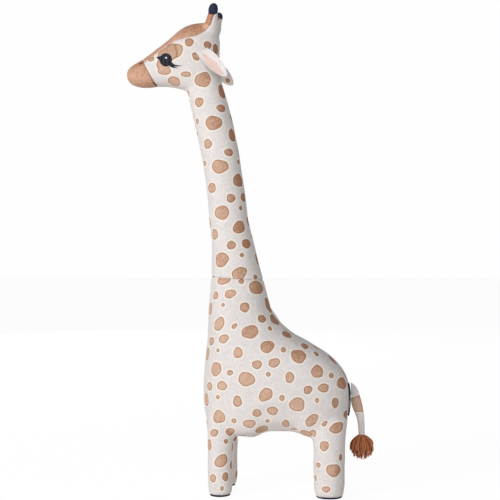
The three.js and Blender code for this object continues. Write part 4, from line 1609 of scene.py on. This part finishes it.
@dataclass
class Ears:
    """Two flopping ears, each a printed cream leaf that is cupped round a peach lining."""

    root: Place = (-59.8 * MM, 29.8 * MM, 603.0 * MM)
    direction: Place = (0.667, 0.23, -0.708)
    across: Place = (0.7, 0.06, 0.71)
    length: float = 49 * MM
    width: float = 20.4 * MM
    cup: float = 3.4 * MM
    rim: float = 1.2 * MM
    crease: float = 0.7 * MM
    crease_width: float = 2.2 * MM
    skew: float = 7.0 * MM
    root_lift: float = 0.5
    # A stretch along the ear near its root, whose ends are found but not used
    bend: Pair = (-1 * MM, 9 * MM)
    thickness: float = 2.0 * MM
    lining: float = 0.9 * MM
    # Place along the ear and width, in shares
    outline_shares: Rows = (
        (0, 0.76), (0.12, 0.88), (0.3, 0.98), (0.5, 1), (0.7, 0.88), (0.86, 0.62), (0.96, 0.34),
        (1, 0.06),
    )
    # Where the lining's edge lies inside the leaf's: its root, tip, lower rim and upper rim
    margins: tuple[float, ...] = (6 * MM, 5 * MM, 1.0 * MM, 7.0 * MM)
    lining_taper: float = 0.55
    # Painted shade on the back of each leaf, taken off its tone
    shade: float = 0.4
    # Place along the ear and off its middle, in shares, and radius in millimetres
    spots: Rows = ((0.28, -0.3, 4.5), (0.55, 0.45, 4.2), (0.8, -0.1, 3.4))

    def foot(self, side: Side) -> np.ndarray:
        """The middle of the ear's root."""
        return np.array(self.root) * (1, side.value, 1)

    def frame(self, side: Side) -> tuple[np.ndarray, np.ndarray, np.ndarray]:
        """The ear's own directions.

        Args:
            side: The toy's side.

        Returns:
            The directions along the ear, across it, and out of its lined face.
        """
        along = np.array(self.direction) / np.linalg.norm(self.direction)
        across = np.array(self.across) - along * (np.array(self.across) @ along)
        across /= np.linalg.norm(across)
        out = np.cross(along, across)
        mirror = np.array([1, side.value, 1])
        return along * mirror, across * mirror, out * np.sign(out[1]) * mirror

    def leaf(
        self, name: str, side: Side, margins: tuple[float, ...], low: float, high: float, taper: float = 0.0
    ) -> Piece:
        """A cupped leaf of cloth, closed all round.

        Args:
            name: The leaf's name.
            side: The toy's side.
            margins: How far its edge lies inside the ear's at the root, tip, lower and upper rim.
            low: The height of its inner face off the ear's back.
            high: The height of its outer face.
            taper: The share of its width that it loses towards the root.

        Returns:
            The leaf.
        """
        along, across, out = self.frame(side)
        at_root, at_tip, below, above = margins
        sections = []
        for share, wide in eased(self.outline_shares, steps=6, reach=4):
            length = at_root + (self.length - at_root - at_tip) * share
            full = self.width * wide / 2
            inset = min(1, wide * 1.5)
            half = max(full - (below + above) / 2 * inset, 0.3 * MM) * (1 - taper * (1 - share) ** 2)
            loop = []
            for turn in np.linspace(0, 2 * math.pi, 48, endpoint=False):
                offset = (below - above) / 2 * inset + math.cos(turn) * half
                ratio = min(1.0, abs(offset) / max(full, 1e-6))
                bowl = self.cup * ratio**2.2 * wide + self.rim * max(0.0, ratio - 0.8) * 5 * wide
                bowl *= smooth(share / 0.3)
                pinch = self.crease * math.exp(-((offset / self.crease_width) ** 2)) * (1 - share)
                thick = (low + high) / 2 + (high - low) / 2 * math.sin(turn)
                reach = length + self.skew * (offset / self.width - 0.5) * (1 - share) ** 1.5
                lift = bowl - pinch + thick + self.root_lift * max(0.0, -reach)
                loop.append(self.foot(side) + along * reach + across * offset + out * lift)
            sections.append(np.array(loop))
        return loft(name, sections)

    def paint(self, leaf: Piece, side: Side) -> None:
        """Prints the leaf's back with a few spots, and paints shade on it.

        Args:
            leaf: The leaf.
            side: The toy's side.
        """
        along, across, out = self.frame(side)
        offset = points_of(leaf) - self.foot(side)
        down, aside = offset @ along, offset @ across
        depth = np.full(len(offset), PLAIN)
        for share, off, size in self.spots:
            away = np.hypot(down - share * self.length, (aside - off * self.width / 2) * 1.15)
            depth = np.minimum(depth, away / MM - size)
        normals = normals_of(leaf)
        behind = normals @ out < 0.2
        set_attribute(leaf, "spot", np.where(behind, depth, PLAIN))
        set_attribute(leaf, "tone_and_painted_light", tone_and_painted_light(normals) - np.where(behind, self.shade, 0))

    def dress(self) -> None:
        """Builds both ears."""
        for side in Side:
            ear = f"{side.word}_ear"
            outer = self.leaf(f"{ear}_plush", side, (0, 0, 0, 0), 0, self.thickness)
            high = self.thickness + self.lining
            lining = self.leaf(f"{ear}_lining_plush", side, self.margins, 1.0 * MM, high, self.lining_taper)
            along = self.frame(side)[0]
            start, end = [tuple(self.foot(side) + along * reach) for reach in self.bend]
            for piece, material, slot, node in (
                (outer, CREAM, "plush_cloth", "outer"),
                (lining, PEACH, "ear_lining", "lining"),
            ):
                dye(piece, PLAIN)
                dress(piece, material)
                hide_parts(f"{ear}_{node}")
                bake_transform(piece)
            self.paint(outer, side)


@dataclass
class Tail:
    """The limp tail, a flat sewn tube with a brown band, its yarn tassel, and the label beside it."""

    root: Place = (141.6 * MM, 0.0, 141.2 * MM)
    reach: float = 13.3 * MM
    drop: float = 64 * MM
    width: float = 18 * MM
    thickness: float = 6.6 * MM
    band: Pair = (0.13, 0.47)
    tassel_middle: Place = (155.2 * MM, 0.0, 60.2 * MM)
    tassel_size: float = 15 * MM
    strands: int = 280
    strand: float = 0.75 * MM
    strand_steps: int = 9
    strand_sides: int = 5
    ribbon: float = 0.6 * MM
    # Reach, drop, height of the section and its turn from upright to level, in shares
    shares: Rows = (
        (-0.12, -0.02, 0.9, 0), (-0.02, 0, 1, 0), (0.21, 0.075, 0.94, 0.33), (0.37, 0.21, 0.89, 0.5),
        (0.55, 0.345, 0.79, 0.72), (0.74, 0.475, 0.68, 0.83), (0.89, 0.605, 0.575, 0.96),
        (0.965, 0.74, 0.5, 1), (1, 0.91, 0.483, 1), (1, 1.0, 0.42, 1),
    )

    def place(self, reach: float, drop: float) -> np.ndarray:
        """A place on the tail's middle line."""
        return np.array(self.root) + np.array([self.reach * reach, 0, -self.drop * drop])

    def tube(self) -> Piece:
        """Makes the tail's sewn tube.

        Returns:
            The tube, with its brown band stored as a spot.
        """
        rings = []
        for reach, drop, height, turn in eased(self.shares, steps=8, reach=6):
            angle = turn * math.pi / 2
            up = np.array([math.sin(angle), 0, math.cos(angle)])
            half = (self.width * height / 2, self.thickness / 2)
            rings.append(ring(self.place(reach, drop), up, Y, half, 2.1, 40))
        tube = loft("tail_plush", rings)
        points = points_of(tube)
        out = points[:, 0] - self.root[0]
        down = (self.root[2] - points[:, 2]) / self.drop
        slant = (out - self.reach * 0.65) / self.reach * 0.08
        low, high = down + slant - self.band[0], self.band[1] - down
        # Painted light and shade by facing, lifted by 0.3 all over
        set_attribute(tube, "tone_and_painted_light", tone_and_painted_light(normals_of(tube)) + 0.3)
        set_attribute(tube, "spot", -np.minimum(low, high) * self.drop / MM)
        edge = np.minimum(np.abs(low), np.abs(high)) * self.drop / MM
        # A crease crosses the tube where it has bent, half way down; painted shade darkens it and the
        # band's edges as at a seam
        crease = np.abs(out - self.reach * 0.8) / MM + np.where(np.abs(down - 0.48) < 0.07, 0, 9)
        set_attribute(tube, "seam", np.minimum(edge, crease))
        return tube

    def tassel(self) -> Piece:
        """Makes the tassel: yarn tied under the tail, each strand draped over the ball that it fills.

        Returns:
            The strands, joined.
        """
        random = np.random.default_rng(3)
        middle, tie = np.array(self.tassel_middle), self.place(1, 0.95)
        steps, sides = self.strand_steps, self.strand_sides
        points: list[np.ndarray] = []
        faces: list[tuple[int, ...]] = []
        tones: list[float] = []
        for i in range(self.strands):
            turn = i * math.pi * (3 - math.sqrt(5))
            out = math.cos(turn) * X + math.sin(turn) * Y
            down = 1 - 1.3 * (i + 0.5) / self.strands + random.normal(0, 0.05)
            aside = math.sqrt(max(0.0, 1 - down * down))
            size = self.tassel_size * random.uniform(0.8, 1.06)
            end = middle + size * (aside * out - down * Z) + random.normal(0, 0.5 * MM, 3)
            bend = middle + size * ((1.08 * aside + 0.1) * out + 0.78 * Z)
            start, tone = len(points), random.uniform(-0.45, 0.5)
            for share in np.arange(steps + 1) / steps:
                centre = (1 - share) ** 2 * tie + 2 * share * (1 - share) * bend + share**2 * end
                run = (1 - share) * (bend - tie) + share * (end - bend)
                run /= np.linalg.norm(run)
                across = np.cross(run, np.array([-out[1], out[0], 0.01]))
                across /= np.linalg.norm(across)
                radius = self.strand * (1.1 - 0.3 * share)
                points += list(ring(centre, across, np.cross(run, across), (radius, radius), 2.0, sides))
                tones += [tone - 0.25 * (1 - share)] * sides
            faces += walls(sides, steps + 1, start)
            faces.append(tuple(start + s for s in reversed(range(sides))))
            faces.append(tuple(start + steps * sides + s for s in range(sides)))
        made = mesh_object("yarn_tassel", np.array(points), faces)
        set_attribute(made, "tone_and_painted_light", np.array(tones))
        turn_out(made)
        return made

    def label(self, rump: BVHTree) -> None:
        """Makes the blank ribbon in the back seam, folded double and laid to the toy's left.

        Args:
            rump: The search tree of the body's skin, which the ribbon lies along.
        """
        low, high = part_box("seam_label")
        wide, tall = high.y - low.y, high.z - low.z
        section = [(1.0, y) for y in np.linspace(0, 1, 9)]
        section += [(math.cos(turn), 1 + 0.05 * math.sin(turn)) for turn in np.linspace(0.5, 2.6, 5)]
        section += [(-1.0, y) for y in np.linspace(1, 0, 9)]
        points, rows, count = [], 24, len(section)
        for share in np.linspace(0, 1, rows):
            z = high.z - tall * share
            skin = rump.ray_cast(Vector((1, (low.y + high.y) / 2, z)), Vector((-1, 0, 0)))[0]
            lift = self.ribbon * (1.7 + 0.6 * math.sin(share * math.pi))
            middle = skin.x + lift
            points += [(middle + face * self.ribbon * 0.8, high.y - wide * y, z) for face, y in section]
        corners = [r * count + c for r in range(rows - 1) for c in range(count - 1)]
        faces = [(a, a + 1, a + 1 + count, a + count) for a in corners]
        made = mesh_object("seam_ribbon", np.array(points), faces)
        apply_modifier(made, "SOLIDIFY", thickness=self.ribbon, offset=0)
        dress(made, RIBBON)
        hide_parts("seam_label")
        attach(made, "root")

    def dress(self, rump: BVHTree) -> None:
        """Builds the tail, its tassel and the label.

        Args:
            rump: The search tree of the body's skin.
        """
        tube = self.tube()
        dress(tube, CREAM)
        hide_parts("tail_upper", "tail_lower")
        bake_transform(tube)
        tassel = self.tassel()
        dress(tassel, YARN)
        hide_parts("tassel")
        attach(tassel, "tassel")
        self.label(rump)


@dataclass
class Studio:
    """A pale floor, three soft lamps and a light sky."""

    floor_size: float = 24.0
    # The share of white light in what the camera sees of the floor, and that light's strength
    floor_white: Pair = (0.86, 1.08)
    # The sky's strength as light on the toy, and as what the camera and reflections see
    sky: Pair = (0.3, 0.99)
    look: Place = (0, 0, 0.35)
    # Name, place, size and power
    lamps: tuple[tuple[str, Place, float, float], ...] = (
        ("key", (-2.9, -3.2, 1.3), 2.0, 86),
        ("fill", (0.5, -3.6, 0.7), 1.6, 31),
        ("back", (-1.4, 2.6, 0.9), 1.4, 24),
    )

    def floor(self) -> None:
        """Makes the floor, which keeps the toy's shadow."""
        bpy.ops.object.select_all(action="DESELECT")
        bpy.ops.mesh.primitive_plane_add(size=self.floor_size)
        floor = bpy.context.object
        floor.name = "floor"
        material, tree, output = new_material("pale_floor")
        camera = add(tree, "LightPath").outputs["Is Camera Ray"]
        seen = add(tree, "Math", {"operation": "MULTIPLY", 0: camera, 1: self.floor_white[0]})
        matt = add(tree, "BsdfDiffuse", {"Color": linear("f4f3f2")})
        white = add(tree, "Emission", {"Color": linear("ffffff"), "Strength": self.floor_white[1]})
        mixed = add(tree, "MixShader", {0: seen, 1: matt, 2: white})
        tree.links.new(mixed.outputs["Shader"], output.inputs["Surface"])
        floor.data.materials.append(material)

    def build(self) -> None:
        """Makes the floor, the sky and the lamps, and sets the view."""
        scene = bpy.context.scene
        scene.view_settings.view_transform = "Standard"
        self.floor()
        scene.world = bpy.data.worlds.new("studio")
        scene.world.use_nodes = True
        tree = scene.world.node_tree
        tree.nodes.clear()
        paths = add(tree, "LightPath").outputs
        direct = paths["Is Camera Ray"]
        for kind in ("Is Glossy Ray", "Is Transmission Ray"):
            direct = add(tree, "Math", {"operation": "MAXIMUM", 0: direct, 1: paths[kind]})
        level = add(tree, "MapRange", {"Value": direct, "To Min": self.sky[0], "To Max": self.sky[1]})
        glow = add(tree, "Background", {"Color": linear("ffffff"), "Strength": level})
        add(tree, "OutputWorld", {"Surface": glow})
        for name, place, size, power in self.lamps:
            data = bpy.data.lights.new(name, "AREA")
            data.size = size
            data.energy = power
            lamp = bpy.data.objects.new(name, data)
            lamp.location = place
            lamp.rotation_euler = (Vector(self.look) - Vector(place)).to_track_quat("-Z", "Y").to_euler()
            scene.collection.objects.link(lamp)


def main() -> None:
    """Builds the giraffe in order."""
    logging.basicConfig(level=logging.INFO, format="%(name)s: %(message)s")
    PICTURE.camera()
    Studio().build()
    skin = Body().dress()
    log.info("body built")
    for part in (Head(), HORNS, Ears()):
        part.dress()
        log.info("%s built", type(part).__name__.lower())
    Tail().dress(tree_of(skin))
    log.info("tail built")


if __name__ == "__main__":
    main()
